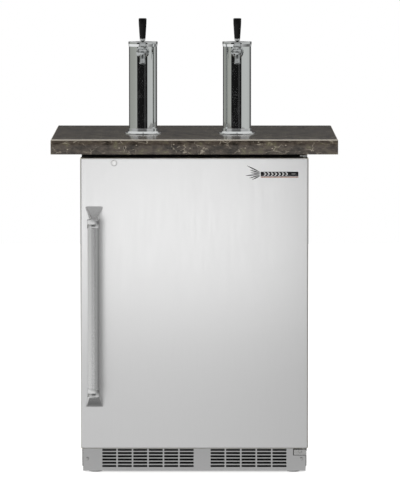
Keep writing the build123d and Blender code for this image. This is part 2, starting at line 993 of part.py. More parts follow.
control_front = frame_back + control_setback
control_x = cavity_side - control_width / 2 - control_side_gap
button_z = cavity_top - control_height / 2
button_xs = (control_x + button_pitch, control_x + 2 * button_pitch)
with BuildPart() as control_housing:
    block(
        (control_x - control_width / 2, control_front, cavity_top - control_height),
        (control_x + control_width / 2, control_front + control_depth, cavity_top),
    )
    fillet(control_housing.edges().filter_by(Axis.X).group_by(Axis.Z)[0], control_edge)
    with BuildSketch(front_plane(control_front)):
        with Locations((control_x - display_offset, button_z)):
            RectangleRounded(display_width, display_height, display_corner)
    extrude(amount=-display_depth, mode=Mode.SUBTRACT)
    for x in button_xs:
        disc(
            front_plane(control_front),
            (x, button_z),
            button_radius + part_gap,
            -button_length - button_room,
            Mode.SUBTRACT,
        )
write(control_housing, "control_housing")

for name, x in zip(("down", "up"), button_xs):
    with BuildPart() as button:
        disc(front_plane(control_front - button_proud), (x, button_z), button_radius, -button_length)
        fillet(button.faces().sort_by(Axis.Y)[0].edges(), button_edge)
    write(button, f"temperature_button_{name}")

# Gas set

with BuildPart() as co2_cylinder:
    turn_upright(
        cylinder_x,
        cylinder_y,
        [
            (0, hump_top),
            (cylinder_radius - cylinder_heel, hump_top),
            (cylinder_radius, hump_top + cylinder_heel),
            (cylinder_radius, cylinder_top - cylinder_shoulder),
            (cylinder_radius - cylinder_shoulder_mid[0], cylinder_top - cylinder_shoulder_mid[1]),
            (cylinder_radius / 2, cylinder_top - cylinder_neck_fall),
            (valve_radius + cylinder_neck, cylinder_top - cylinder_neck),
            (valve_radius + cylinder_neck, cylinder_top),
            (0, cylinder_top),
        ],
    )
write(co2_cylinder, "co2_cylinder")

with BuildPart() as cylinder_valve:
    turn_upright(
        cylinder_x,
        cylinder_y,
        [
            (0, cylinder_top),
            (valve_radius, cylinder_top),
            (valve_radius, valve_top - valve_shoulder),
            (valve_radius - valve_step, valve_top - valve_shoulder + valve_step),
            (valve_radius - valve_step, valve_top),
            (0, valve_top),
        ],
    )
    disc(front_plane(cylinder_y), (cylinder_x, outlet_z), valve_radius - 3, valve_radius + valve_outlet)
    disc(Plane.XY.offset(valve_top), (cylinder_x, cylinder_y), valve_stem_radius, handwheel_height - 2)
write(cylinder_valve, "cylinder_valve")

with BuildPart() as valve_handwheel:
    disc(Plane.XY.offset(valve_top + part_gap), (cylinder_x, cylinder_y), handwheel_radius, handwheel_height)
    with BuildSketch(Plane.XY.offset(valve_top + part_gap)):
        with Locations((cylinder_x, cylinder_y)):
            with PolarLocations(handwheel_radius + 2, handwheel_grips):
                Circle(handwheel_grip_radius)
    extrude(amount=handwheel_height, mode=Mode.SUBTRACT)
    disc(
        Plane.XY.offset(valve_top + part_gap),
        (cylinder_x, cylinder_y),
        valve_stem_radius + running_fit,
        handwheel_height,
        Mode.SUBTRACT,
    )
write(valve_handwheel, "valve_handwheel")

with BuildPart() as pressure_regulator:
    turn_level(
        cylinder_x,
        outlet_z,
        [
            (cylinder_y - valve_radius - valve_outlet, 0),
            (cylinder_y - valve_radius - valve_outlet, regulator_nut_radius),
            (regulator_back + regulator_back_slope, regulator_nut_radius),
            (regulator_back, regulator_radius),
            (regulator_front + regulator_front_slope, regulator_radius),
            (regulator_front, 0.6 * regulator_radius),
            (regulator_front, 0),
        ],
    )
    disc(front_plane(regulator_front), (cylinder_x, outlet_z), regulator_stem_radius, knob_length - 4)
    with BuildSketch(side_plane(cylinder_x)):
        with Locations((gauge_y, outlet_z)):
            Circle(gauge_port_radius)
    extrude(amount=gauge_bridge, both=True)
    disc(
        Plane.XY.offset(outlet_z - regulator_radius - regulator_outlet),
        (cylinder_x, gauge_y),
        regulator_outlet_radius,
        regulator_radius,
    )
write(pressure_regulator, "pressure_regulator")

with BuildPart() as pressure_gauges:
    for x in (cylinder_x - gauge_reach, cylinder_x + gauge_reach):
        disc(front_plane(gauge_y + gauge_depth / 2), (x, outlet_z), gauge_radius, gauge_depth)
        disc(
            front_plane(gauge_y - gauge_depth / 2 + gauge_recess),
            (x, outlet_z),
            gauge_radius - gauge_rim,
            gauge_recess,
            Mode.SUBTRACT,
        )
    with BuildSketch(side_plane(cylinder_x)):
        with Locations((gauge_y, outlet_z)):
            Circle(gauge_port_radius + slip)
    extrude(amount=gauge_bridge, both=True, mode=Mode.SUBTRACT)
write(pressure_gauges, "pressure_gauges")

with BuildPart() as regulator_knob:
    disc(front_plane(regulator_front - part_gap), (cylinder_x, outlet_z), knob_radius, knob_length)
    with BuildSketch(front_plane(regulator_front - part_gap)):
        with Locations((cylinder_x, outlet_z)):
            with PolarLocations(knob_radius + 1, knob_grips):
                Circle(knob_grip_radius)
    extrude(amount=knob_length, mode=Mode.SUBTRACT)
    disc(
        front_plane(regulator_front - part_gap),
        (cylinder_x, outlet_z),
        regulator_stem_radius + running_fit,
        knob_length - 2,
        Mode.SUBTRACT,
    )
write(regulator_knob, "regulator_knob")

# Door

lock_x = -door_side + lock_from_edge
lock_z = door_top - lock_drop
bushing_radius = pin_radius + running_fit + bushing_wall

with BuildPart() as door_skin:
    block((-door_side, door_face, door_bottom), (door_side, door_back, door_top))
    fillet(door_skin.faces().sort_by(Axis.Y)[0].edges(), skin_edge)
    block(
        (skin_wall - door_side, door_face + skin_wall, door_bottom + skin_wall),
        (door_side - skin_wall, door_back, door_top - skin_wall),
        Mode.SUBTRACT,
    )
    for z in (door_bottom, door_top - skin_wall):
        disc(Plane.XY.offset(z), (hinge_x, hinge_y), bushing_radius, skin_wall, Mode.SUBTRACT)
    disc(front_plane(door_face), (lock_x, lock_z), lock_body_radius + slip, -skin_wall, Mode.SUBTRACT)
write(door_skin, "door_skin")

with BuildPart() as door_foam:
    block(
        (skin_wall - door_side, door_face + skin_wall, door_bottom + skin_wall),
        (door_side - skin_wall, door_inside, door_top - skin_wall),
    )
    for z in (door_bottom, door_top - pin_depth - 2):
        disc(Plane.XY.offset(z), (hinge_x, hinge_y), bushing_radius + slip, pin_depth + 2, Mode.SUBTRACT)
    disc(
        front_plane(door_face),
        (lock_x, lock_z),
        lock_body_radius + slip,
        -door_thickness,
        Mode.SUBTRACT,
    )
write(door_foam, "door_foam")

with BuildPart() as door_liner:
    block(
        (skin_wall - door_side, door_inside, door_bottom + skin_wall),
        (door_side - skin_wall, door_back, door_top - skin_wall),
    )
    disc(
        front_plane(door_inside),
        (lock_x, lock_z),
        lock_body_radius + slip,
        -door_liner_wall,
        Mode.SUBTRACT,
    )
write(door_liner, "door_liner")

gasket_inner_side = cavity_side + gasket_side_margin
gasket_inner_low = cavity_floor - gasket_end_margin
gasket_inner_top = cavity_top + gasket_end_margin
with BuildPart() as door_gasket:
    with BuildSketch(front_plane(cabinet_front - gasket_play)):
        with Locations((0, (gasket_inner_low + gasket_inner_top) / 2)):
            RectangleRounded(
                2 * (gasket_inner_side + gasket_width),
                gasket_inner_top - gasket_inner_low + 2 * gasket_width,
                gasket_width / 2,
            )
            Rectangle(2 * gasket_inner_side, gasket_inner_top - gasket_inner_low, mode=Mode.SUBTRACT)
    extrude(amount=gasket_space - gasket_play)
write(door_gasket, "door_gasket")

handle_x = -door_side + handle_inset
handle_y = door_face - handle_reach + handle_radius + collar_wall
handle_top = door_top - handle_drop
handle_low = handle_top - handle_height
bar_top = handle_top - bracket_slope
bar_low = handle_low + bracket_slope

with BuildPart() as handle_bar:
    disc(Plane.XY.offset(bar_low), (handle_x, handle_y), handle_radius, bar_top - bar_low)
    disc(
        Plane.XY.offset(bar_low),
        (handle_x, handle_y),
        handle_radius - handle_wall,
        bar_top - bar_low,
        Mode.SUBTRACT,
    )
write(handle_bar, "handle_bar")

with BuildPart() as handle_brackets:
    for end, sign in ((bar_top, 1), (bar_low, -1)):
        foot_middle = end + sign * (bracket_slope - bracket_height / 2)
        neck_middle = end - sign * (collar_height / 2 - collar_wall)
        with BuildSketch(front_plane(door_face)) as foot:
            with Locations((handle_x, foot_middle)):
                RectangleRounded(bracket_width, bracket_height, bracket_corner)
        with BuildSketch(front_plane(handle_y)) as neck:
            with Locations((handle_x, neck_middle)):
                RectangleRounded(bracket_neck, collar_height, bracket_corner)
        loft(sections=[foot.sketch, neck.sketch])
        collar_low = min(end + sign * collar_wall, end - sign * (collar_height - collar_wall))
        disc(
            Plane.XY.offset(collar_low),
            (handle_x, handle_y),
            handle_radius + collar_wall,
            collar_height,
        )
    disc(
        Plane.XY.offset(bar_low),
        (handle_x, handle_y),
        handle_radius + running_fit,
        bar_top - bar_low,
        Mode.SUBTRACT,
    )
write(handle_brackets, "handle_brackets")

with BuildPart() as hinge_bushings:
    for z in (door_bottom, door_top - pin_depth):
        disc(Plane.XY.offset(z), (hinge_x, hinge_y), bushing_radius - running_fit, pin_depth)
        disc(Plane.XY.offset(z), (hinge_x, hinge_y), pin_radius + running_fit, pin_depth, Mode.SUBTRACT)
write(hinge_bushings, "hinge_bushings")

with BuildPart() as lock_housing:
    disc(front_plane(door_face), (lock_x, lock_z), lock_ring_radius, lock_ring)
    disc(front_plane(door_face), (lock_x, lock_z), lock_body_radius, -door_thickness)
    disc(
        front_plane(door_face - lock_ring),
        (lock_x, lock_z),
        plug_radius + running_fit,
        -door_thickness - lock_ring,
        Mode.SUBTRACT,
    )
write(lock_housing, "lock_housing")

cam_front = door_back + part_gap
with BuildPart() as lock_plug:
    plug_front = door_face - lock_ring + part_gap
    disc(front_plane(plug_front), (lock_x, lock_z), plug_radius, plug_front - cam_front)
    with BuildSketch(front_plane(cam_front)):
        with Locations((lock_x, lock_z)):
            Circle(cam_width / 2 + 1)
        with Locations((lock_x - cam_reach / 2, lock_z)):
            Rectangle(cam_reach, cam_width)
    extrude(amount=-cam_wall)
    with BuildSketch(front_plane(plug_front)):
        with Locations((lock_x, lock_z)):
            Rectangle(keyway_width, keyway_height)
    extrude(amount=-keyway_depth, mode=Mode.SUBTRACT)
write(lock_plug, "lock_plug")

# Hinge brackets and lock strike

upper_plate_z = door_top + (door_top_gap - bracket_plate) / 2
lower_plate_z = leaf_low_top - bracket_plate
with BuildPart() as hinge_brackets:
    block(
        (side - hinge_leaf_width, cabinet_front - bracket_plate, cabinet_height - 2 * hinge_leaf_top),
        (side, cabinet_front, upper_plate_z + bracket_plate),
    )
    block(
        (side - hinge_leaf_width - upper_plate_extra, hinge_y - plate_reach, upper_plate_z),
        (side, cabinet_front, upper_plate_z + bracket_plate),
    )
    disc(
        Plane.XY.offset(upper_plate_z),
        (hinge_x, hinge_y),
        pin_radius,
        door_top - upper_plate_z - pin_depth + pin_end_gap,
    )
    block(
        (side - lower_leaf_width, cabinet_front - bracket_plate, leaf_low_bottom),
        (side, cabinet_front, leaf_low_top),
    )
    block(
        (side - lower_leaf_width, hinge_y - plate_reach, lower_plate_z),
        (side, cabinet_front, leaf_low_top),
    )
    disc(
        Plane.XY.offset(leaf_low_top),
        (hinge_x, hinge_y),
        pin_radius,
        door_bottom - leaf_low_top + pin_depth - pin_end_gap,
    )
    for at in hinge_screws:
        screw_hole(front_plane(cabinet_front - bracket_plate), at, bracket_plate)
        countersunk_cone(front_plane(cabinet_front - bracket_plate), at, running_fit, Mode.SUBTRACT)
write(hinge_brackets, "hinge_brackets")

strike_front = cam_front - strike_gap - strike_wall
with BuildPart() as lock_strike:
    block(
        (lock_x - strike_width / 2, strike_front, cabinet_height - strike_wall - strike_drop),
        (lock_x + strike_width / 2, cabinet_front, cabinet_height - strike_drop),
    )
    block(
        (lock_x - strike_width / 2, strike_front, cabinet_height - strike_wall - strike_lip),
        (lock_x + strike_width / 2, strike_front + strike_wall, cabinet_height - strike_drop),
    )
    block(
        (lock_x - strike_width / 2, cabinet_front - strike_wall, cabinet_height - strike_leaf),
        (lock_x + strike_width / 2, cabinet_front, cabinet_height - strike_drop),
    )
write(lock_strike, "lock_strike")

# Counter slab and towers

with BuildPart() as counter_slab:
    block((-slab_side, slab_front, cabinet_height), (slab_side, slab_back, slab_top))
    fillet(counter_slab.faces().sort_by(Axis.Z)[-1].edges(), slab_edge)
    for x in tower_xs:
        disc(
            Plane.XY.offset(cabinet_height),
            (x, tower_y),
            conduit_radius + slip,
            slab_thickness,
            Mode.SUBTRACT,
        )
    for x in tower_xs:
        with BuildSketch(Plane.XY.offset(slab_top)):
            with Locations((x, tower_y)):
                with PolarLocations(flange_screw_circle, flange_screws, start_angle=45):
                    Circle(screw_radius + running_fit)
        extrude(amount=-screw_length, mode=Mode.SUBTRACT)
write(counter_slab, "counter_slab")

with BuildPart() as line_conduits:
    for x in tower_xs:
        turn_upright(
            x,
            tower_y,
            [
                (conduit_radius - conduit_wall, cavity_top - conduit_end),
                (conduit_radius + conduit_rim, cavity_top - conduit_end),
                (conduit_radius + conduit_rim, cavity_top),
                (conduit_radius, cavity_top),
                (conduit_radius, slab_top + conduit_end),
                (conduit_radius - conduit_wall, slab_top + conduit_end),
            ],
        )
write(line_conduits, "line_conduits")

with BuildPart() as tower_columns:
    for x in tower_xs:
        disc(Plane.XY.offset(slab_top), (x, tower_y), column_radius, tower_height - cap_top)
        disc(
            Plane.XY.offset(slab_top),
            (x, tower_y),
            column_radius - column_wall,
            tower_height - cap_top,
            Mode.SUBTRACT,
        )
        disc(
            front_plane(tower_y - column_radius / 2),
            (x, shank_z),
            shank_radius + slip,
            column_radius,
            Mode.SUBTRACT,
        )
write(tower_columns, "tower_columns")

cap_z = slab_top + tower_height
with BuildPart() as tower_caps:
    for x in tower_xs:
        turn_upright(
            x,
            tower_y,
            [
                (0, cap_z - cap_top),
                (column_radius + slip / 2, cap_z - cap_top),
                (column_radius + slip / 2, cap_z - cap_skirt),
                (column_radius + cap_lip, cap_z - cap_skirt),
                (cap_radius, cap_z - cap_skirt / 2),
                (cap_radius, cap_z - cap_chamfer),
                (cap_radius - cap_chamfer, cap_z),
                (0, cap_z),
            ],
        )
        disc(
            front_plane(tower_y - column_radius / 2),
            (x, shank_z),
            saddle_radius + slip,
            column_radius,
            Mode.SUBTRACT,
        )
write(tower_caps, "tower_caps")

with BuildPart() as tower_flanges:
    for x in tower_xs:
        turn_upright(
            x,
            tower_y,
            [
                (column_radius + slip / 2, slab_top),
                (flange_radius, slab_top),
                (flange_radius, slab_top + flange_plate / 2),
                (flange_radius - flange_plate / 2, slab_top + flange_plate),
                (column_radius + flange_hollow, slab_top + flange_plate),
                (column_radius + flange_hollow / 2, slab_top + flange_height / 2),
                (column_radius + flange_collar, slab_top + flange_height),
                (column_radius + slip / 2, slab_top + flange_height),
            ],
        )
        with BuildSketch(Plane.XY.offset(slab_top)):
            with Locations((x, tower_y)):
                with PolarLocations(flange_screw_circle, flange_screws, start_angle=45):
                    Circle(screw_radius + running_fit)
        extrude(amount=flange_plate, mode=Mode.SUBTRACT)
write(tower_flanges, "tower_flanges")

with BuildPart() as screws:
    for at in grille_screws:
        screw(front_plane(cabinet_front - grille_plate), at)
    for at in hinge_screws:
        countersunk_screw(front_plane(cabinet_front - bracket_plate), at)
    for x in tower_xs:
        for quarter in PolarLocations(flange_screw_circle, flange_screws, start_angle=45):
            at = (x + quarter.position.X, tower_y + quarter.position.Y)
            disc(Plane.XY.offset(slab_top + flange_plate), at, flange_screw_head_radius, screw_head / 2)
            disc(Plane.XY.offset(slab_top + flange_plate), at, screw_radius, -screw_length)
write(screws, "screws")

# Shanks, faucets and lines

with BuildPart() as shanks:
    for x in tower_xs:
        disc(
            front_plane(tower_y - column_radius / 1.5),
            (x, shank_z),
            saddle_radius,
            column_radius / 3 + saddle_depth,
        )
        disc(
            Plane.XY.offset(shank_z - 2 * saddle_radius),
            (x, tower_y),
            column_radius + slip,
            4 * saddle_radius,
            Mode.SUBTRACT,
        )
        tail = tower_y - line_start
        turn_level(
            x,
            shank_z,
            [
                (shank_front, 0),
                (shank_front, shank_radius),
                (nut_seat, shank_radius),
                (nut_seat, shank_nut_radius),
                (nut_seat + shank_nut, shank_nut_radius),
                (nut_seat + shank_nut, line_radius),
                (tail, line_radius),
                (tail, 0),
            ],
        )
        disc(front_plane(tail), (x, shank_z), shank_bore, tail - shank_front, Mode.SUBTRACT)
write(shanks, "shanks")

with BuildPart() as beer_lines:
    for x in tower_xs:
        bent_rod(
            (
                (x, tower_y - line_start, shank_z),
                (x, tower_y, shank_z),
                (x, tower_y, cavity_top - line_tail),
            ),
            line_radius,
            line_bend,
        )
    for x in tower_xs:
        disc(
            Plane.XY.offset(cavity_top - line_tail),
            (x, tower_y),
            line_bore,
            line_tail,
            Mode.SUBTRACT,
        )
write(beer_lines, "beer_lines")

with BuildPart() as coupling_nuts:
    for x in tower_xs:
        nut_front = saddle_front - coupling_length
        turn_level(
            x,
            shank_z,
            [
                (saddle_front, shank_radius + slip),
                (saddle_front, coupling_radius),
                (nut_front + coupling_chamfer[0], coupling_radius),
                (nut_front, coupling_radius - coupling_chamfer[1]),
                (nut_front, shank_radius + slip),
            ],
        )
        with BuildSketch(front_plane(saddle_front)):
            with Locations((x, shank_z)):
                with PolarLocations(coupling_radius, spanner_notches):
                    Circle(spanner_notch_radius)
        extrude(amount=coupling_length, mode=Mode.SUBTRACT)
write(coupling_nuts, "coupling_nuts")

with BuildPart() as faucet_bodies:
    for x in tower_xs:
        turn_level(
            x,
            shank_z,
            [
                (faucet_y - barrel_front, 0),
                (faucet_y - barrel_front, 0.56 * barrel_radius),
                (faucet_y - 0.75 * barrel_front, 0.88 * barrel_radius),
                (faucet_y - 0.4 * barrel_front, barrel_radius),
                (faucet_y + 0.7 * barrel_radius, barrel_radius),
                (faucet_y + 1.2 * barrel_radius, neck_radius),
                (faucet_y + chamber_front, neck_radius),
                (faucet_y + chamber_front, shank_radius),
                (shank_front, shank_radius),
                (shank_front, 0),
            ],
        )
        disc(Plane.XY.offset(shank_z), (x, faucet_y), housing_radius, bonnet_base)
        spout_top = Vector(x, faucet_y - 0.25 * barrel_radius, shank_z - 0.4 * barrel_radius)
        spout_end = Vector(x, faucet_y - spout_forward, shank_z - spout_drop)
        spout_plane = Plane(origin=spout_end, x_dir=(1, 0, 0), z_dir=spout_top - spout_end)
        disc(spout_plane, (0, 0), spout_radius, (spout_top - spout_end).length)
        turn_upright(
            x,
            faucet_y,
            [
                (0, shank_z + bonnet_base),
                (bonnet_radius, shank_z + bonnet_base),
                (bonnet_radius, shank_z + bonnet_base + bonnet_band),
                (bonnet_top_radius, shank_z + bonnet_top),
                (0, shank_z + bonnet_top),
            ],
        )
        disc(
            Plane.XY.offset(shank_z + bonnet_base),
            (x, faucet_y),
            bonnet_bore,
            bonnet_top - bonnet_base,
            Mode.SUBTRACT,
        )
        disc(
            front_plane(faucet_y + chamber_front),
            (x, shank_z),
            plunger_radius + running_fit,
            chamber_front + 0.75 * barrel_front,
            Mode.SUBTRACT,
        )
        disc(
            front_plane(shank_front),
            (x, shank_z),
            chamber_radius,
            shank_front - faucet_y - chamber_front,
            Mode.SUBTRACT,
        )
        disc(spout_plane, (0, 0), spout_bore, (spout_top - spout_end).length, Mode.SUBTRACT)
        # Slot that the lever's lower arm swings in
        with BuildSketch(side_plane(x)):
            with BuildLine():
                Polyline(
                    (faucet_y - lever_slot_half, shank_z),
                    (faucet_y + lever_slot_back, shank_z),
                    (faucet_y + lever_slot_back, shank_z + lever_slot_rise),
                    (faucet_y + lever_slot_throat, shank_z + bonnet_base + 0.5),
                    (faucet_y + lever_slot_throat, shank_z + bonnet_base + 1),
                    (faucet_y - lever_slot_half, shank_z + bonnet_base + 1),
                    close=True,
                )
            make_face()
        extrude(amount=lever_slot_half, both=True, mode=Mode.SUBTRACT)
write(faucet_bodies, "faucet_bodies")

for name, x in zip(("left", "right"), tower_xs):
    with BuildPart() as faucet_lever:
        turn_upright(
            x,
            faucet_y,
            [
                (0, pivot_z),
                (lever_neck, pivot_z),
                (lever_neck, pivot_z + ferrule_bottom),
                (ferrule_radius, pivot_z + ferrule_shoulder),
                (ferrule_radius, pivot_z + ferrule_top),
                (stud_radius, pivot_z + ferrule_top),
                (stud_radius, pivot_z + ferrule_top + stud_length),
                (0, pivot_z + ferrule_top + stud_length),
            ],
        )
        with Locations((x, faucet_y, pivot_z)):
            Sphere(lever_ball)
        with BuildSketch(side_plane(x)):
            with Locations((faucet_y, pivot_z)):
                Circle(trunnion_radius)
        extrude(amount=trunnion_reach, both=True)
        disc(Plane.XY.offset(shank_z), (x, faucet_y), lever_arm_radius, lever_pivot)
        with Locations((x, faucet_y, shank_z)):
            Sphere(lever_tip)
    write(faucet_lever, f"faucet_lever_{name}")

    with BuildPart() as tap_handle:
        tap_low = pivot_z + ferrule_top
        turn_upright(
            x,
            faucet_y,
            [
                (0, tap_low),
                (tap_base_radius, tap_low),
                (tap_top_radius, tap_low + tap_length - tap_chamfer[1]),
                (tap_top_radius - tap_chamfer[0], tap_low + tap_length),
                (0, tap_low + tap_length - tap_dish),
            ],
        )
        disc(
            Plane.XY.offset(tap_low),
            (x, faucet_y),
            stud_radius + slip,
            stud_length + 1,
            Mode.SUBTRACT,
        )
    write(tap_handle, f"tap_handle_{name}")

    with BuildPart() as faucet_plunger:
        seal_front = faucet_y + chamber_front + seal_gap
        turn_level(
            x,
            shank_z,
            [
                (faucet_y - plunger_front, 0),
                (faucet_y - plunger_front, plunger_radius),
                (seal_front, plunger_radius),
                (seal_front, seal_radius),
                (seal_front + seal_wall, seal_radius),
                (seal_front + seal_wall, 0),
            ],
        )
        block(
            (x - plunger_flat_half, faucet_y - plunger_flat_front, shank_z - plunger_flat_low),
            (x + plunger_flat_half, faucet_y + plunger_flat_back, shank_z + plunger_radius + 1),
            Mode.SUBTRACT,
        )
    write(faucet_plunger, f"faucet_plunger_{name}")
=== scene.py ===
import json
from math import cos, pi, radians, sin, sqrt, tan

import bmesh
import bpy
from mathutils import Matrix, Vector


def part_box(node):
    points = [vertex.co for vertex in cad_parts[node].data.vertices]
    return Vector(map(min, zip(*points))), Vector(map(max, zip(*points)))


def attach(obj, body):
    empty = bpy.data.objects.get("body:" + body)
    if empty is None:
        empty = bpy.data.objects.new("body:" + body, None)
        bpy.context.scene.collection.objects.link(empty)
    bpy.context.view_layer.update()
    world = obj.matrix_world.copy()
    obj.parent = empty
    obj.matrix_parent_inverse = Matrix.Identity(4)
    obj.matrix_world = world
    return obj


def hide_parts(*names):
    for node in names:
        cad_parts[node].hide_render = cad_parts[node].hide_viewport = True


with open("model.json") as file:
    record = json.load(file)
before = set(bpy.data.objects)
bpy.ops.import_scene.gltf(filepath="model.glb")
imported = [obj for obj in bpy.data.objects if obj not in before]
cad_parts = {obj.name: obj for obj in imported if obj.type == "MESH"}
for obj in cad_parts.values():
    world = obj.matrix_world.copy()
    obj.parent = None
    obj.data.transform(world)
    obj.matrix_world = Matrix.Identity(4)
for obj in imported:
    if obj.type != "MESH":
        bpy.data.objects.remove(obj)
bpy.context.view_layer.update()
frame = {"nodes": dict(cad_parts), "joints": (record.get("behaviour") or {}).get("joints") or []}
mm = 0.001
same = 1e-6              # metres: two coordinates closer than this are one
joints = {joint["name"]: joint for joint in frame["joints"]}
print("frame loaded:", len(frame["nodes"]), "parts")


def hexColour(text):
    parts = [int(text[i:i + 2], 16) / 255 for i in (0, 2, 4)]
    return tuple(c / 12.92 if c <= 0.04045 else ((c + 0.055) / 1.055) ** 2.4 for c in parts) + (1,)


def addNode(tree, kind, inputs=None, stops=(), **settings):
    node = tree.nodes.new(kind)
    for key, value in settings.items():
        setattr(node, key, value)
    for key, value in (inputs or {}).items():
        if isinstance(value, bpy.types.NodeSocket):
            tree.links.new(value, node.inputs[key])
        else:
            node.inputs[key].default_value = value
    if stops:
        elements = node.color_ramp.elements
        while len(elements) < len(stops):
            elements.new(0.5)
        for element, (place, colour) in zip(elements, stops):
            element.position = place
            element.color = hexColour(colour) if isinstance(colour, str) else (colour, colour, colour, 1)
    return node


# Camera: a long lens, a little above the counter
view = {
    "distance": 12.0,
    "elevation": 4.9,
    "lens": 330,
    "aimX": 0.015,
    "aimZ": 0.612,
    "farClip": 100,
}


def makeCamera():
    camera = bpy.data.objects.new("camera", bpy.data.cameras.new("camera"))
    bpy.context.scene.collection.objects.link(camera)
    tilt = radians(view["elevation"])
    aim = Vector((view["aimX"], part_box("door_skin")[0].y, view["aimZ"]))
    back = Vector((0, -cos(tilt), sin(tilt)))
    camera.location = aim + back * view["distance"]
    camera.rotation_euler = (-back).to_track_quat("-Z", "Y").to_euler()
    camera.data.lens = view["lens"]
    camera.data.clip_end = view["farClip"]
    bpy.context.scene.camera = camera


# Light: a pale room with large soft boxes. What metal mirrors is painted on the world. Its ramps run
# round from behind by the left to behind again, or up from straight down to straight up, and heights
# and depths of a direction go from -1 to 1.
room = {
    "background": "FFFFFF",
    "diffuse": 0.62,
    "floor": "F4F4F3",
    "floorRadius": 7.0,
    "floorGlow": 0.75,
    "key": {"place": (-2.6, -3.2, 3.0), "aim": (0, -0.1, 0.5), "size": (3.0, 2.6), "watts": 48},
    "fill": {"place": (2.8, -3.0, 2.4), "aim": (0, -0.1, 0.5), "size": (2.4, 2.2), "watts": 18},
    "top": {"place": (0.0, 0.3, 3.4), "aim": (0, 0, 0.5), "size": (3.2, 2.2), "watts": 50},
    "card": {"place": (-0.28, -3.8, 0.88), "aim": (-0.1, -0.28, 0.6), "size": (2.9, 1.6), "watts": 22},
    # What a polished post sees all round at its own height: a dark strip in front, and dark behind
    "around": [
        (0.0, 0.07), (0.115, 0.08), (0.135, "A2A49E"), (0.3, "ABADA7"), (0.36, "B4B6B1"), (0.368, 0.012),
        (0.52, 0.008), (0.548, 0.06), (0.566, 0.01), (0.598, 0.012), (0.606, "C9CBC9"), (0.72, "CDCFCD"),
        (0.83, "C5C7C5"), (0.86, 0.12), (1.0, 0.07),
    ],
    "upright": [(0.0, 0.3), (0.42, 0.4), (0.5, 0.42), (0.6, 0.5), (0.78, 0.85), (1.0, 0.85)],
    # The camera and whoever stands by it shade the middle of what faces forward, but not overhead
    "shade": [(0.36, 1.0), (0.4, 0.3), (0.57, 0.26), (0.6, 1.0)],
    "shadeFade": (0.4, 0.6),
    # Lower down the room opposite the door is bright, and it darkens round to the right and behind
    "below": [
        (0.0, 0.5), (0.1, 0.7), (0.16, 1.0), (0.5, 0.95), (0.58, 0.6), (0.66, 0.36), (0.76, 0.14),
        (0.84, 0.2), (0.92, 0.5), (1.0, 0.5),
    ],
    "belowStart": -0.02,
    # Straight down there is the counter's and the cabinet's own shade on the floor
    "deep": 0.26,
    "deepFade": (-0.6, -0.85),
    # How far below and above its own height a post sees the strips
    "bandHeights": (-0.5, 0.5),
    "frontBand": [(0.418, 0.0), (0.43, 1.0), (0.515, 1.0), (0.55, 0.0)],
    "backBand": [(0.418, 0.0), (0.43, 1.0), (0.7, 1.0), (0.76, 0.0)],
    "behind": (-0.1, 0.4),
}


def makeWorld():
    world = bpy.data.worlds.new("studio")
    bpy.context.scene.world = world
    world.use_nodes = True
    tree = world.node_tree
    tree.nodes.clear()
    direction = addNode(tree, "ShaderNodeTexCoord").outputs["Generated"]
    axis = addNode(tree, "ShaderNodeSeparateXYZ", {0: direction}).outputs
    forward = addNode(tree, "ShaderNodeMath", {0: axis["Y"], 1: -1.0}, operation="MULTIPLY")
    turn = addNode(tree, "ShaderNodeMath", {0: axis["X"], 1: forward.outputs[0]}, operation="ARCTAN2")
    spans = {}
    for name, value, (low, high) in (
        ("round", turn.outputs[0], (-pi, pi)), ("height", axis["Z"], (-1.0, 1.0)),
        ("overhead", axis["Z"], room["shadeFade"]), ("deep", axis["Z"], room["deepFade"]),
        ("near", axis["Z"], room["bandHeights"]), ("behind", axis["Y"], room["behind"]),
    ):
        spans[name] = addNode(tree, "ShaderNodeMapRange", {
            "Value": value, "From Min": low, "From Max": high,
        }).outputs["Result"]
    ramps = {}
    for name, span in (("around", "round"), ("upright", "height"), ("shade", "round"), ("below", "round"),
                       ("frontBand", "near"), ("backBand", "near")):
        ramp = addNode(tree, "ShaderNodeValToRGB", {"Fac": spans[span]}, stops=room[name])
        ramps[name] = ramp.outputs["Color"]
    lowHalf = addNode(tree, "ShaderNodeMath", {0: axis["Z"], 1: room["belowStart"]}, operation="LESS_THAN")
    path = addNode(tree, "ShaderNodeLightPath").outputs
    mixed = {}
    for name, share, first, second, blend in (
        ("clear", spans["overhead"], ramps["shade"], (1, 1, 1, 1), "MIX"),
        ("upper", 1.0, ramps["upright"], "clear", "MULTIPLY"),
        ("lower", spans["deep"], ramps["below"], (room["deep"],) * 3 + (1,), "MIX"),
        ("halves", lowHalf.outputs[0], "upper", "lower", "MIX"),
        ("band", spans["behind"], ramps["frontBand"], ramps["backBand"], "MIX"),
        ("glossy", "band", "halves", ramps["around"], "MIX"),
        ("soft", path["Is Glossy Ray"], (room["diffuse"],) * 3 + (1,), "glossy", "MIX"),
        ("seen", path["Is Camera Ray"], "soft", hexColour(room["background"]), "MIX"),
    ):
        share, first, second = (mixed[v] if isinstance(v, str) else v for v in (share, first, second))
        mixed[name] = addNode(tree, "ShaderNodeMix", {
            0: share, 6: first, 7: second,
        }, data_type="RGBA", blend_type=blend).outputs[2]
    shine = addNode(tree, "ShaderNodeBackground", {"Color": mixed["seen"], "Strength": 1.0})
    addNode(tree, "ShaderNodeOutputWorld", {"Surface": shine.outputs[0]})


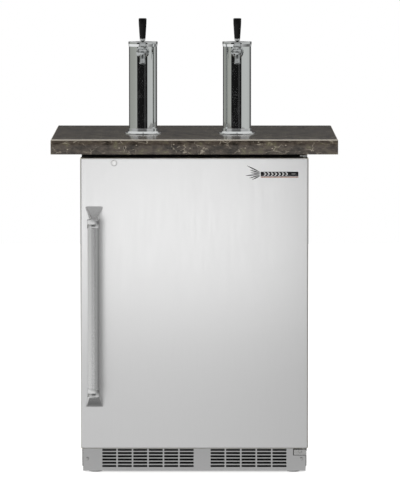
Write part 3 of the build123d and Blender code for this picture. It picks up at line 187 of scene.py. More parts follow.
def makeLights():
    made = {}
    for name in ("key", "fill", "top", "card"):
        values = room[name]
        lamp = bpy.data.lights.new(name, "AREA")
        lamp.shape = "RECTANGLE"
        lamp.size, lamp.size_y = values["size"]
        lamp.energy = values["watts"]
        holder = bpy.data.objects.new(name, lamp)
        bpy.context.scene.collection.objects.link(holder)
        holder.location = values["place"]
        towards = Vector(values["aim"]) - Vector(values["place"])
        holder.rotation_euler = towards.to_track_quat("-Z", "Y").to_euler()
        # The soft boxes light the paint and stone; what metal mirrors is the painted room and the card
        holder.visible_glossy = name == "card"
        holder.visible_camera = False
        made[name] = holder
    return made


def lightOnly(holder, pieces):
    # A reflector card that is held for the door's steel front alone
    chosen = bpy.data.collections.new(holder.name + "Receivers")
    for piece in pieces:
        chosen.objects.link(piece)
    holder.light_linking.receiver_collection = chosen


def makeFloor(material):
    bm = bmesh.new()
    bmesh.ops.create_circle(bm, cap_ends=True, segments=96, radius=room["floorRadius"])
    mesh = bpy.data.meshes.new("floor")
    bm.to_mesh(mesh)
    bm.free()
    floor = bpy.data.objects.new("floor", mesh)
    bpy.context.scene.collection.objects.link(floor)
    mesh.materials.append(material)
    floor.visible_glossy = False


def newMaterial(name, values):
    material = bpy.data.materials.new(name)
    material.use_nodes = True
    tree = material.node_tree
    shader = tree.nodes["Principled BSDF"]
    for key, value in values.items():
        shader.inputs[key].default_value = hexColour(value) if isinstance(value, str) else value
    return material, tree, shader


def objectPattern(tree, size):
    # Object coordinates divided by the pattern's real size along X, Y and Z, in millimetres
    place = addNode(tree, "ShaderNodeTexCoord").outputs["Object"]
    scale = tuple(1 / (s * mm) for s in size)
    return addNode(tree, "ShaderNodeMapping", {"Vector": place, "Scale": scale}).outputs[0]


def wearSurface(tree, shader, pattern, roughness=None, strength=0, depth=0.05):
    # One pattern drives how dull the surface is, between two values, and its relief, depth in millimetres
    if roughness:
        spread = addNode(tree, "ShaderNodeMapRange", {
            "Value": pattern, "From Min": 0.3, "From Max": 0.7,
            "To Min": roughness[0], "To Max": roughness[1],
        })
        tree.links.new(spread.outputs["Result"], shader.inputs["Roughness"])
    if strength:
        relief = addNode(tree, "ShaderNodeBump", {
            "Height": pattern, "Strength": strength, "Distance": depth * mm,
        })
        tree.links.new(relief.outputs["Normal"], shader.inputs["Normal"])


def brushedMetal(name, colour, grain, roughness, bump):
    # Sheet or bar drawn over an abrasive belt: short scratches along one way, which stretch the glints
    material, tree, shader = newMaterial(name, {
        "Base Color": colour, "Metallic": 1.0, "Roughness": roughness[0],
    })
    lines = addNode(tree, "ShaderNodeTexNoise", {
        "Vector": objectPattern(tree, grain), "Scale": 1.0, "Detail": 3.0, "Roughness": 0.6,
    }).outputs["Fac"]
    tint = addNode(tree, "ShaderNodeMix", {
        0: lines, 6: tuple(c * 0.94 for c in hexColour(colour)[:3]) + (1,), 7: hexColour(colour),
    }, data_type="RGBA")
    tree.links.new(tint.outputs[2], shader.inputs["Base Color"])
    wearSurface(tree, shader, lines, roughness, bump)
    return material


def polishedChrome():
    # Electroplated chrome over brass or steel: a mirror, with only a trace of wiping haze
    material, tree, shader = newMaterial("polishedChrome", {
        "Base Color": "DFE1E1", "Metallic": 1.0, "Roughness": 0.03,
    })
    haze = addNode(tree, "ShaderNodeTexNoise", {
        "Vector": objectPattern(tree, (22, 22, 30)), "Scale": 1.0, "Detail": 4.0,
    }).outputs["Fac"]
    wearSurface(tree, shader, haze, (0.02, 0.06))
    return material


def polishedStone():
    # Polished brown marble: dark cloudy ground, with short broken pale veins and a few pale flecks
    material, tree, shader = newMaterial("polishedMarble", {
        "Base Color": "2B2622", "Roughness": 0.12, "IOR": 1.5, "Specular IOR Level": 0.4,
    })
    clouds = addNode(tree, "ShaderNodeTexNoise", {
        "Vector": objectPattern(tree, (34, 34, 20)), "Scale": 1.0, "Detail": 9.0, "Roughness": 0.74,
    }).outputs["Fac"]
    ground = addNode(tree, "ShaderNodeValToRGB", {"Fac": clouds}, stops=[
        (0.34, "1A1713"), (0.44, "332D27"), (0.53, "49413A"), (0.6, "4C4838"), (0.7, "7A7263"),
    ]).outputs["Color"]
    bend = addNode(tree, "ShaderNodeTexNoise", {
        "Vector": objectPattern(tree, (50, 50, 30)), "Scale": 1.0, "Detail": 5.0,
    }).outputs["Color"]
    bentPlace = addNode(tree, "ShaderNodeMix", {
        0: 0.6, 6: objectPattern(tree, (30, 30, 20)), 7: bend,
    }, data_type="RGBA", blend_type="LINEAR_LIGHT").outputs[2]
    cracks = addNode(tree, "ShaderNodeTexVoronoi", {
        "Vector": bentPlace, "Scale": 1.0,
    }, feature="DISTANCE_TO_EDGE").outputs["Distance"]
    lines = addNode(tree, "ShaderNodeValToRGB", {"Fac": cracks}, stops=[
        (0.0, 0.9), (0.01, 0.5), (0.035, 0.0),
    ])
    cover = addNode(tree, "ShaderNodeTexNoise", {
        "Vector": objectPattern(tree, (26, 26, 26)), "Scale": 1.0, "Detail": 4.0, "Roughness": 0.7,
    })
    patches = addNode(tree, "ShaderNodeValToRGB", {"Fac": cover.outputs["Fac"]}, stops=[
        (0.49, 0.0), (0.58, 0.9),
    ])
    broken = addNode(tree, "ShaderNodeMath", {
        0: lines.outputs[0], 1: patches.outputs[0],
    }, operation="MULTIPLY")
    veined = addNode(tree, "ShaderNodeMix", {
        0: broken.outputs[0], 6: ground, 7: hexColour("A39A8B"),
    }, data_type="RGBA")
    grains = addNode(tree, "ShaderNodeTexVoronoi", {
        "Vector": objectPattern(tree, (9, 9, 6)), "Scale": 1.0,
    })
    picked = addNode(tree, "ShaderNodeValToRGB", {"Fac": grains.outputs["Color"]}, stops=[
        (0.86, 0.0), (0.9, 1.0),
    ])
    dots = addNode(tree, "ShaderNodeValToRGB", {"Fac": grains.outputs["Distance"]}, stops=[
        (0.12, 0.6), (0.3, 0.0),
    ])
    flecks = addNode(tree, "ShaderNodeMath", {0: picked.outputs[0], 1: dots.outputs[0]}, operation="MULTIPLY")
    speckled = addNode(tree, "ShaderNodeMix", {
        0: flecks.outputs[0], 6: veined.outputs[2], 7: hexColour("B3A998"),
    }, data_type="RGBA")
    tree.links.new(speckled.outputs[2], shader.inputs["Base Color"])
    wearSurface(tree, shader, clouds, (0.1, 0.16))
    return material


def paintedSheet(name, colour, roughness, grain=1.6, metallic=0.0):
    # Baked coating with a slight orange peel, which breaks up the edge of each reflection
    material, tree, shader = newMaterial(name, {
        "Base Color": colour, "Roughness": roughness, "Metallic": metallic, "IOR": 1.5,
    })
    peel = addNode(tree, "ShaderNodeTexNoise", {
        "Vector": objectPattern(tree, (grain,) * 3), "Scale": 1.0, "Detail": 2.0,
    }).outputs["Fac"]
    wearSurface(tree, shader, peel, (roughness - 0.04, roughness + 0.05), 0.12, 0.08)
    return material


def zincSheet():
    # Hot-dip galvanised steel: grey spangles some 8 mm across, each a little lighter or darker
    material, tree, shader = newMaterial("galvanisedSteel", {
        "Base Color": "A9ADAF", "Metallic": 1.0, "Roughness": 0.42,
    })
    flakes = addNode(tree, "ShaderNodeTexVoronoi", {
        "Vector": objectPattern(tree, (8, 8, 8)), "Scale": 1.0, "Randomness": 1.0,
    }).outputs["Color"]
    tone = addNode(tree, "ShaderNodeSeparateColor", {0: flakes}).outputs[0]
    shades = addNode(tree, "ShaderNodeValToRGB", {"Fac": tone}, stops=[(0.0, "8F9496"), (1.0, "BCC0C1")])
    tree.links.new(shades.outputs["Color"], shader.inputs["Base Color"])
    wearSurface(tree, shader, tone, (0.34, 0.5))
    return material


def mouldedPlastic(name, colour, roughness, grain, bump, extra=None):
    # Injection moulded or vacuum formed: even colour, and the fine spark-eroded texture of the tool
    values = {"Base Color": colour, "Roughness": roughness, "IOR": 1.49}
    values.update(extra or {})
    material, tree, shader = newMaterial(name, values)
    texture = addNode(tree, "ShaderNodeTexNoise", {
        "Vector": objectPattern(tree, (grain,) * 3), "Scale": 1.0, "Detail": 3.0,
    }).outputs["Fac"]
    wearSurface(tree, shader, texture, (roughness - 0.05, roughness + 0.05), bump)
    return material


def pouredFoam():
    # Poured polyurethane foam: cream, matt and finely celled
    material, tree, shader = newMaterial("polyurethaneFoam", {"Base Color": "E3D5A4", "Roughness": 0.9})
    cells = addNode(tree, "ShaderNodeTexVoronoi", {
        "Vector": objectPattern(tree, (2.5,) * 3), "Scale": 1.0,
    }).outputs["Distance"]
    shades = addNode(tree, "ShaderNodeValToRGB", {"Fac": cells}, stops=[(0.0, "C9B983"), (0.6, "E8DCB0")])
    tree.links.new(shades.outputs["Color"], shader.inputs["Base Color"])
    wearSurface(tree, shader, cells, None, 0.3, 0.3)
    return material


def paleFloor():
    # Painted studio floor: even, matt and bright
    return newMaterial("paleFloor", {
        "Base Color": room["floor"], "Roughness": 0.9, "Specular IOR Level": 0.1,
        "Emission Color": room["floor"], "Emission Strength": room["floorGlow"],
    })[0]


finishes = {
    "doorSteel": brushedMetal("brushedStainless", "D0D0D0", (1.1, 1.1, 90), (0.3, 0.38), 0.1),
    "barSteel": brushedMetal("satinStainless", "D6D6D6", (40, 40, 0.9), (0.16, 0.26), 0.06),
    "turnedSteel": brushedMetal("turnedSteel", "C4C4C3", (6, 6, 0.6), (0.22, 0.34), 0.1),
    "chrome": polishedChrome(),
    "castChrome": brushedMetal("platedCasting", "B2B5B5", (12, 12, 12), (0.07, 0.15), 0.02),
    "stone": polishedStone(),
    # The eased edge: a paler honed colour, lightened further as a painted highlight along the counter's front
    # edge
    "honedHighlightStone": mouldedPlastic("honedMarbleEdge", "989288", 0.55, 1.5, 0.1),
    "blackCoat": paintedSheet("blackPowderCoat", "121213", 0.4),
    "greyCoat": paintedSheet("charcoalPowderCoat", "3B3C3E", 0.42),
    "blackEnamel": paintedSheet("blackStovingEnamel", "0B0B0C", 0.22, 6.0),
    "zinc": zincSheet(),
    "aluminium": brushedMetal("spunAluminium", "C9CACC", (30, 30, 0.8), (0.26, 0.36), 0.08),
    "brass": brushedMetal("turnedBrass", "C6A15A", (5, 5, 0.5), (0.2, 0.3), 0.08),
    "copper": brushedMetal("drawnCopper", "B8714A", (8, 8, 8), (0.24, 0.36), 0.03),
    "white": mouldedPlastic("whiteHighImpactStyrene", "E4E6E6", 0.3, 3.0, 0.05),
    "blackPlastic": mouldedPlastic("blackAbs", "0E0E0F", 0.42, 0.8, 0.12),
    "tapBlack": mouldedPlastic("blackPhenolic", "040404", 0.25, 9.0, 0.03, {"Specular IOR Level": 0.2}),
    "rubber": mouldedPlastic("gasketVinyl", "191A1B", 0.6, 1.2, 0.1),
    "hose": mouldedPlastic("clearVinylHose", "DDE2DE", 0.15, 6.0, 0.02, {"Transmission Weight": 0.6}),
    "lens": mouldedPlastic("opalPolycarbonate", "F4F3EC", 0.35, 2.0, 0.03, {
        "Emission Color": "FFF7E6", "Emission Strength": 0.6,
    }),
    "digits": mouldedPlastic("litDigits", "9FD8FF", 0.4, 2.0, 0.01, {
        "Emission Color": "8FD0FF", "Emission Strength": 2.5,
    }),
    "foam": pouredFoam(),
    # Near-black foam for behind the grille's slots: painted shade for the dark machine room
    "shadeBackingFoam": mouldedPlastic("blackFilterFoam", "050505", 0.95, 2.2, 0.6),
}
print("materials made:", len(finishes))


def addMesh(name, bm, finish, body, replaced=(), smooth=32):
    bmesh.ops.remove_doubles(bm, verts=bm.verts, dist=0.004 * mm)
    mesh = bpy.data.meshes.new(name)
    bm.to_mesh(mesh)
    bm.free()
    mesh.shade_smooth()
    mesh.set_sharp_from_angle(angle=radians(smooth))
    return addPiece(name, mesh, finish, body, replaced)


def addPiece(name, mesh, finish, body, replaced=()):
    piece = bpy.data.objects.new(name, mesh)
    bpy.context.scene.collection.objects.link(piece)
    if finish:
        mesh.materials.clear()
        mesh.materials.append(finishes[finish])
    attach(piece, body)
    if replaced:
        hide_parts(*replaced)
    return piece


def softened(points, radius, steps=4, closed=False):
    # Rounds the corners of an outline with arcs that touch both sides
    out = []
    count = len(points)
    for i, here in enumerate(points):
        size = radius[i] if isinstance(radius, (list, tuple)) else radius
        if (not closed and i in (0, count - 1)) or size <= 0:
            out.append(tuple(here))
            continue
        here = Vector(here)
        before = Vector(points[i - 1]) - here
        after = Vector(points[(i + 1) % count]) - here
        angle = before.angle(after)
        if angle > pi - 0.02:
            out.append(tuple(here))
            continue
        reach = min(size / tan(angle / 2), before.length * 0.48, after.length * 0.48)
        size = reach * tan(angle / 2)
        middle = here + (before.normalized() + after.normalized()).normalized() * size / sin(angle / 2)
        start = here + before.normalized() * reach - middle
        end = here + after.normalized() * reach - middle
        for step in range(steps + 1):
            share = step / steps
            turn = start.angle(end)
            mixed = start * sin((1 - share) * turn) + end * sin(share * turn)
            out.append(tuple(middle + mixed / sin(turn)))
    return out


def lathe(bm, outline, axis, origin, steps=64, shape=None):
    # outline holds (radius, place along the axis), and shape may change a radius with the angle
    origin = Vector(origin)
    along = Vector(axis).normalized()
    side = along.orthogonal().normalized()
    other = along.cross(side)
    rings = []
    for radius, height in outline:
        ring = []
        for step in range(1 if radius < same / 10 else steps):
            angle = 2 * pi * step / steps
            size = shape(angle, radius) if shape else radius
            out = side * cos(angle) + other * sin(angle)
            ring.append(bm.verts.new(origin + along * height + out * size))
        rings.append(ring)
    faces = []
    for low, high in zip(rings, rings[1:]):
        for step in range(steps):
            after = (step + 1) % steps
            corners = [
                low[step % len(low)], low[after % len(low)], high[after % len(high)], high[step % len(high)],
            ]
            corners = [v for i, v in enumerate(corners) if v not in corners[:i]]
            if len(corners) > 2:
                faces.append(bm.faces.new(corners))
    bmesh.ops.recalc_face_normals(bm, faces=faces)
    return faces


def roundedBlock(bm, low, high, radius, steps=3):
    made = bmesh.ops.create_cube(bm, size=1.0)["verts"]
    low, high = Vector(low), Vector(high)
    for vert in made:
        vert.co = Vector([low[i] if vert.co[i] < 0 else high[i] for i in range(3)])
    edges = list({edge for vert in made for edge in vert.link_edges})
    if radius > 0:
        bmesh.ops.bevel(bm, geom=edges, offset=radius, segments=steps, profile=0.5, affect="EDGES")


def prism(bm, outline, low, high, place):
    # An outline pushed from low to high; place turns (u, v, depth) into a point
    bottom = [bm.verts.new(place(u, v, low)) for u, v in outline]
    top = [bm.verts.new(place(u, v, high)) for u, v in outline]
    faces = [bm.faces.new(bottom), bm.faces.new(top)]
    for i in range(len(outline)):
        j = (i + 1) % len(outline)
        faces.append(bm.faces.new((bottom[i], bottom[j], top[j], top[i])))
    bmesh.ops.recalc_face_normals(bm, faces=faces)
    return faces


def useBoolean(piece, cutter, operation="DIFFERENCE"):
    change = piece.modifiers.new("cut", "BOOLEAN")
    change.operation = operation
    change.object = cutter
    change.solver = "EXACT"
    graph = bpy.context.evaluated_depsgraph_get()
    made = bpy.data.meshes.new_from_object(piece.evaluated_get(graph))
    old = piece.data
    piece.modifiers.clear()
    piece.data = made
    bpy.data.meshes.remove(old)
    bpy.data.objects.remove(cutter)


def looseObject(name, bm):
    mesh = bpy.data.meshes.new(name)
    bm.to_mesh(mesh)
    bm.free()
    made = bpy.data.objects.new(name, mesh)
    bpy.context.scene.collection.objects.link(made)
    return made


def tidySmooth(piece, smooth=32):
    piece.data.shade_smooth()
    piece.data.set_sharp_from_angle(angle=radians(smooth))


def newGeometryTree(name, sockets):
    tree = bpy.data.node_groups.new(name, "GeometryNodeTree")
    tree.interface.new_socket("Geometry", in_out="INPUT", socket_type="NodeSocketGeometry")
    for label, kind, value in sockets:
        socket = tree.interface.new_socket(label, in_out="INPUT", socket_type=kind)
        if value is not None:
            socket.default_value = value
    tree.interface.new_socket("Geometry", in_out="OUTPUT", socket_type="NodeSocketGeometry")
    return tree, addNode(tree, "NodeGroupInput"), tree.nodes.new("NodeGroupOutput")


def runTree(holder, tree, values):
    # Sets the tree's inputs by their identifiers, then turns the result into a plain mesh
    modifier = holder.modifiers.new(tree.name, "NODES")
    modifier.node_group = tree
    for item in tree.interface.items_tree:
        if item.item_type == "SOCKET" and item.in_out == "INPUT" and item.name in values:
            modifier[item.identifier] = values[item.name]
    graph = bpy.context.evaluated_depsgraph_get()
    mesh = bpy.data.meshes.new_from_object(holder.evaluated_get(graph))
    old = holder.data
    bpy.data.objects.remove(holder)
    bpy.data.meshes.remove(old)
    return mesh


def repeatTree():
    # One small part at each point of a mesh, turned the same way
    tree, given, result = newGeometryTree("repeatPart", [
        ("Part", "NodeSocketObject", None),
        ("Turn", "NodeSocketRotation", None),
        ("Material", "NodeSocketMaterial", None),
    ])
    part = addNode(tree, "GeometryNodeObjectInfo", {"Object": given.outputs["Part"]})
    placed = addNode(tree, "GeometryNodeInstanceOnPoints", {
        "Points": given.outputs["Geometry"],
        "Instance": part.outputs["Geometry"],
        "Rotation": given.outputs["Turn"],
    })
    real = addNode(tree, "GeometryNodeRealizeInstances", {"Geometry": placed.outputs[0]})
    painted = addNode(tree, "GeometryNodeSetMaterial", {
        "Geometry": real.outputs[0], "Material": given.outputs["Material"],
    })
    tree.links.new(painted.outputs[0], result.inputs[0])
    return tree


repeatPart = repeatTree()


def repeatPiece(name, template, places, finish, body, turn=(0, 0, 0), replaced=()):
    mesh = bpy.data.meshes.new(name + "Points")
    mesh.from_pydata([tuple(p) for p in places], [], [])
    holder = bpy.data.objects.new(name + "Points", mesh)
    bpy.context.scene.collection.objects.link(holder)
    made = runTree(holder, repeatPart, {"Part": template, "Turn": turn, "Material": finishes[finish]})
    bpy.data.objects.remove(template)
    made.name = name
    return addPiece(name, made, None, body, replaced)


# Screws: pan heads with a cross recess
screwShape = {"radius": 4.6, "height": 2.3, "recess": 1.1, "arm": 2.6, "armWidth": 1.1}


def screwTemplate(scale=1.0):
    values = {key: value * scale * mm for key, value in screwShape.items()}
    bm = bmesh.new()
    lathe(bm, softened([
        (0, 0), (values["radius"], 0), (values["radius"], values["height"] * 0.35),
        (values["radius"] * 0.75, values["height"]), (0, values["height"]),
    ], [0, 0, 0.4 * mm * scale, 1.6 * mm * scale, 0]), (0, 0, 1), (0, 0, 0), 28)
    head = looseObject("screwHead", bm)
    bm = bmesh.new()
    deep = values["height"] - values["recess"]
    for wide, tall in ((values["arm"], values["armWidth"] / 2), (values["armWidth"] / 2, values["arm"])):
        prism(bm, [(-wide, -tall), (wide, -tall), (wide, tall), (-wide, tall)], deep, values["height"] * 2,
              lambda u, v, d: (u, v, d))
    useBoolean(head, looseObject("crossRecess", bm))
    tidySmooth(head)
    return head


# Counter: one length of stone, with an eased top edge, whose paler colour is partly honed stone and partly a
# painted highlight
counter = {"edge": 3.2, "underEdge": 1.0, "easedEdgeSlopes": (0.05, 0.98)}


def makeCounter():
    low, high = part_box("counter_slab")
    bm = bmesh.new()
    roundedBlock(bm, low, high, 0)
    topEdges = [e for e in bm.edges if all(abs(v.co.z - high.z) < same for v in e.verts)]
    bmesh.ops.bevel(bm, geom=topEdges, offset=counter["edge"] * mm, segments=5, profile=0.5, affect="EDGES")
    underEdges = [e for e in bm.edges if all(abs(v.co.z - low.z) < same for v in e.verts)]
    bmesh.ops.bevel(
        bm, geom=underEdges, offset=counter["underEdge"] * mm, segments=2, profile=0.5, affect="EDGES",
    )
    slab = addMesh("counterSlab", bm, "stone", "cabinet", ["counter_slab"], 40)
    slab.data.materials.append(finishes["honedHighlightStone"])
    for polygon in slab.data.polygons:
        # The eased top edge, which slopes, is honed and not polished, and its paler colour is also a painted
        # highlight along the edge
        if counter["easedEdgeSlopes"][0] < polygon.normal.z < counter["easedEdgeSlopes"][1]:
            polygon.material_index = 1
    print("counter made")


# Door: folded steel skin, flared tube handle, lock, emblem, inner panel and gasket
door = {
    "corner": 4.2, "wall": 1.2, "innerRidge": 12, "innerInset": 19, "panelInset": 34, "panelDepth": 5,
    "ridgeEdge": 3.5, "linerEdge": 0.6,
}


def makeDoorSkin():
    low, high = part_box("door_skin")
    bm = bmesh.new()
    roundedBlock(bm, low, high, 0)
    kept = [e for e in bm.edges if any(abs(v.co.y - high.y) > same for v in e.verts)]
    bmesh.ops.bevel(bm, geom=kept, offset=door["corner"] * mm, segments=5, profile=0.5, affect="EDGES")
    back = [f for f in bm.faces if all(abs(v.co.y - high.y) < same for v in f.verts)]
    bmesh.ops.delete(bm, geom=back, context="FACES")
    skin = addMesh("doorSkin", bm, "doorSteel", "door", ["door_skin"], 40)
    wall = skin.modifiers.new("wall", "SOLIDIFY")
    wall.thickness = door["wall"] * mm
    wall.offset = -1


def makeDoorInside():
    low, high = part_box("door_liner")
    openLow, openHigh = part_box("keg_floor_plate")
    gasketLow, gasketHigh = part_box("door_gasket")
    bm = bmesh.new()
    roundedBlock(bm, low, high, door["linerEdge"] * mm, 2)
    inset = door["innerInset"] * mm
    back = high.y + door["innerRidge"] * mm
    innerLow = (openLow.x + inset, high.y - 0.001, gasketLow.z + inset * 1.9)
    innerHigh = (openHigh.x - inset, back, gasketHigh.z - inset * 1.9)
    roundedBlock(bm, innerLow, innerHigh, 0)
    face = next(f for f in bm.faces if all(abs(v.co.y - back) < same for v in f.verts))
    bmesh.ops.inset_region(
        bm, faces=[face], thickness=door["panelInset"] * mm, depth=-door["panelDepth"] * mm,
    )
    ridges = [e for e in bm.edges if all(v.co.y > high.y + 0.002 for v in e.verts)
              and all(low.x + 0.03 < v.co.x < high.x - 0.03 for v in e.verts)]
    bmesh.ops.bevel(bm, geom=ridges, offset=door["ridgeEdge"] * mm, segments=4, profile=0.5, affect="EDGES")
    addMesh("doorInnerPanel", bm, "white", "door", ["door_liner"], 40)


# The gasket's section is a flat foot, a pleated bellows and a magnet pocket: (in from the edge, out)
gasket = {"corner": 9, "profile": [
    (0, 0), (15, 0), (15, 1.2), (12.5, 1.8), (13.4, 3.0), (12.5, 4.2), (14.2, 5.0), (14.2, 6.6),
    (12.8, 7.6), (3.2, 7.6), (1.6, 6.6), (1.6, 5.0), (3.3, 4.2), (2.2, 3.0), (3.3, 1.8), (0, 1.2),
]}


def makeGasket():
    low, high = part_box("door_gasket")
    size = gasket["corner"] * mm
    corners = [(low.x, low.z), (high.x, low.z), (high.x, high.z), (low.x, high.z)]
    outline = softened(corners, size, 8, True)
    middle = Vector(((low.x + high.x) / 2, (low.z + high.z) / 2))
    bm = bmesh.new()
    rings = []
    for x, z in outline:
        # Inner points move straight in from the flat sides and towards the corner's centre at corners
        ring = []
        for wide, deep in gasket["profile"]:
            inward = wide * mm
            cornerX = max(abs(x - middle.x) - ((high.x - low.x) / 2 - size), 0) / size
            cornerZ = max(abs(z - middle.y) - ((high.z - low.z) / 2 - size), 0) / size
            px = x - inward * cornerX * (1 if x > middle.x else -1)
            pz = z - inward * cornerZ * (1 if z > middle.y else -1)
            ring.append(bm.verts.new((px, low.y + deep * mm, pz)))
        rings.append(ring)
    for i, ring in enumerate(rings):
        after = rings[(i + 1) % len(rings)]
        for j in range(len(ring)):
            k = (j + 1) % len(ring)
            bm.faces.new((ring[j], ring[k], after[k], after[j]))
    bmesh.ops.recalc_face_normals(bm, faces=bm.faces)
    addMesh("doorGasket", bm, "rubber", "door", ["door_gasket"], 50)


handle = {
    "bar": 16, "collar": 17.6, "collarHeight": 24, "lip": 3, "capLip": 4, "groove": 0.5, "overlap": 0.4,
    "collarEdge": 1.2, "footWidth": 50, "footDrop": 31, "footHeight": 42,
    "neck": {"top": 13, "low": 25}, "elbow": {"top": 1.0, "low": 1.6},
    "neckHeight": 9, "taper": 0.3, "squareness": (9, 5), "rings": 18, "around": 56,
}


def makeHandle():
    barLow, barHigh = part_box("handle_bar")
    low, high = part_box("handle_brackets")
    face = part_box("door_skin")[0].y
    centre = Vector(((barLow.x + barHigh.x) / 2, (barLow.y + barHigh.y) / 2, 0))
    bar, collar, groove = handle["bar"] * mm, handle["collar"] * mm, handle["groove"] * mm
    lip, capLip, overlap = handle["lip"] * mm, handle["capLip"] * mm, handle["overlap"] * mm
    squareAtDoor, squareAtBar = handle["squareness"]
    bm = bmesh.new()
    lathe(bm, [(bar, barLow.z), (bar, barHigh.z)], (0, 0, 1), centre, 72)
    addMesh("handleBar", bm, "barSteel", "door", ["handle_bar"], 40)

    bm = bmesh.new()
    for sign, outer, end in ((1, high.z, "top"), (-1, low.z, "low")):
        neck = handle["neck"][end]
        cap = outer - sign * handle["footDrop"] * mm
        base = cap - sign * handle["collarHeight"] * mm
        outline = softened([
            (bar - overlap, base), (collar, base), (collar, base + sign * lip),
            (collar - groove, base + sign * (lip + groove)),
            (collar - groove, cap - sign * (capLip + groove)),
            (collar, cap - sign * capLip), (collar, cap), (0, cap),
        ], [0, overlap, 0, 0, 0, 0, handle["collarEdge"] * mm, 0], 3)
        lathe(bm, outline, (0, 0, 1), centre, 72)
        # Funnel foot: rounded wedges that narrow from the door down to the bar's end
        previous = None
        faces = []
        for ring in range(handle["rings"] + 1):
            share = ring / handle["rings"]
            ease = 1 - share ** handle["elbow"][end]
            wide = (neck + (handle["footWidth"] - neck) * ease) * mm / 2
            taper = 1 - (1 - handle["taper"]) * ease
            tip = cap - sign * handle["neckHeight"] * mm
            outerZ = cap + (outer - cap) * ease
            innerZ = tip + (outer - sign * handle["footHeight"] * mm - tip) * ease
            y = face + (centre.y - face) * share
            middleZ, halfZ = (outerZ + innerZ) / 2, abs(outerZ - innerZ) / 2
            power = 2 / (squareAtDoor + (squareAtBar - squareAtDoor) * share)
            loop = []
            for step in range(handle["around"]):
                angle = 2 * pi * (step + 0.5) / handle["around"]
                c, s = cos(angle), sin(angle)
                rise = abs(s) ** power * (1 if s > 0 else -1)
                narrowed = taper + (1 - taper) * (0.5 + 0.5 * sign * rise)
                spread = abs(c) ** power * (1 if c > 0 else -1)
                loop.append(bm.verts.new((
                    centre.x + wide * narrowed * spread, y, middleZ + halfZ * rise,
                )))
            if previous:
                for i in range(len(loop)):
                    j = (i + 1) % len(loop)
                    faces.append(bm.faces.new((previous[i], previous[j], loop[j], loop[i])))
            else:
                faces.append(bm.faces.new(loop))
            previous = loop
        faces.append(bm.faces.new(previous))
        bmesh.ops.recalc_face_normals(bm, faces=faces)
    addMesh("handleBrackets", bm, "barSteel", "door", ["handle_brackets"], 50)


lock = {"bore": 5.1, "barrel": 7, "length": 43, "flange": 1.4, "slope": 1.2, "lip": 0.5, "edge": 0.4}


def makeLock():
    low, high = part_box("lock_housing")
    centre = Vector(((low.x + high.x) / 2, low.y, (low.z + high.z) / 2))
    ring = (high.x - low.x) / 2
    sizes = {key: value * mm for key, value in lock.items()}
    bore, barrel, length, lip = sizes["bore"], sizes["barrel"], sizes["length"], sizes["lip"]
    bm = bmesh.new()
    outline = softened([
        (bore, length), (bore, lip), (bore + lip, 0), (ring - sizes["slope"], 0),
        (ring, sizes["flange"] - sizes["edge"]), (ring, sizes["flange"]),
        (barrel, sizes["flange"]), (barrel, length), (bore, length),
    ], sizes["edge"], 3)
    lathe(bm, outline, (0, 1, 0), centre, 48)
    addMesh("lockHousing", bm, "turnedSteel", "door", ["lock_housing"], 40)


emblem = {
    "left": 176, "right": 276, "low": 799, "high": 811, "plate": 0.8, "corner": 0.6,
    "stripe": 2.4, "stripeGap": 1.0,
    "grains": 7, "pitch": 9.6, "grainLength": 8, "grainWidth": 2.6, "lean": 26, "rise": 0.5,
    "awns": 6, "awnLength": 42, "awnWidth": 2.8, "fan": 26, "stem": 14, "stemWidth": 1.4, "sunk": 0.2,
}


def leafShape(bm, place, length, width, turn, rise):
    # A pointed leaf lying on the door, with one raised crest
    count = 8
    across = Vector((cos(turn), 0, sin(turn)))
    beside = Vector((-sin(turn), 0, cos(turn)))
    edge = [(length * i / count, width / 2 * sin(pi * i / count) ** 0.8) for i in range(count + 1)]
    outline = edge + [(u, -v) for u, v in reversed(edge[1:-1])]
    crest = bm.verts.new(place + (across * 0.45 * length - Vector((0, rise, 0))) * mm)
    loop = [bm.verts.new(place + (across * u + beside * v) * mm) for u, v in outline]
    faces = [bm.faces.new((loop[i], loop[(i + 1) % len(loop)], crest)) for i in range(len(loop))]
    faces.append(bm.faces.new(loop))
    bmesh.ops.recalc_face_normals(bm, faces=faces)


def makeEmblem():
    # A plain ear of barley: grains in relief on a black bar, its awns fanned out past the bar's end
    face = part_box("door_skin")[0].y
    left, right = emblem["left"] * mm, emblem["right"] * mm
    low, high = emblem["low"] * mm, emblem["high"] * mm
    front, back = face - emblem["plate"] * mm, face + emblem["sunk"] * mm
    middle = (low + high) / 2
    bm = bmesh.new()
    roundedBlock(bm, (left, front, low), (right, back, high), emblem["corner"] * mm, 2)
    for i in range(emblem["awns"]):
        share = i / (emblem["awns"] - 1)
        turn = pi + radians(emblem["fan"]) * (2 * share - 1)
        start = Vector((left, face, middle + (high - low) * (0.5 - share) * 0.7))
        # The awns' lengths are uneven, as on a real ear
        length = emblem["awnLength"] * (0.8 + 0.2 * cos(2 * i))
        leafShape(bm, start, length, emblem["awnWidth"], turn, emblem["rise"])
    addMesh("emblemPlate", bm, "blackEnamel", "door", (), 30)
    bm = bmesh.new()
    top = low - emblem["stripeGap"] * mm
    roundedBlock(bm, (left, front, top - emblem["stripe"] * mm), (right, back, top), emblem["corner"] * mm, 2)
    addMesh("emblemStripe", bm, "copper", "door", (), 30)
    bm = bmesh.new()
    for i in range(emblem["grains"]):
        x = left + (emblem["stem"] / 2 + i * emblem["pitch"]) * mm
        for side in (1, -1):
            place = Vector((x + emblem["grainLength"] * mm, front, middle + side * 0.6 * mm))
            leafShape(bm, place, emblem["grainLength"], emblem["grainWidth"],
                      pi - side * radians(emblem["lean"]), emblem["rise"])
    x += 2 * emblem["grainLength"] * mm
    leafShape(bm, Vector((x, front, middle)), emblem["stem"], emblem["stemWidth"], 0, emblem["rise"])
    addMesh("emblemBarley", bm, "barSteel", "door", (), 30)


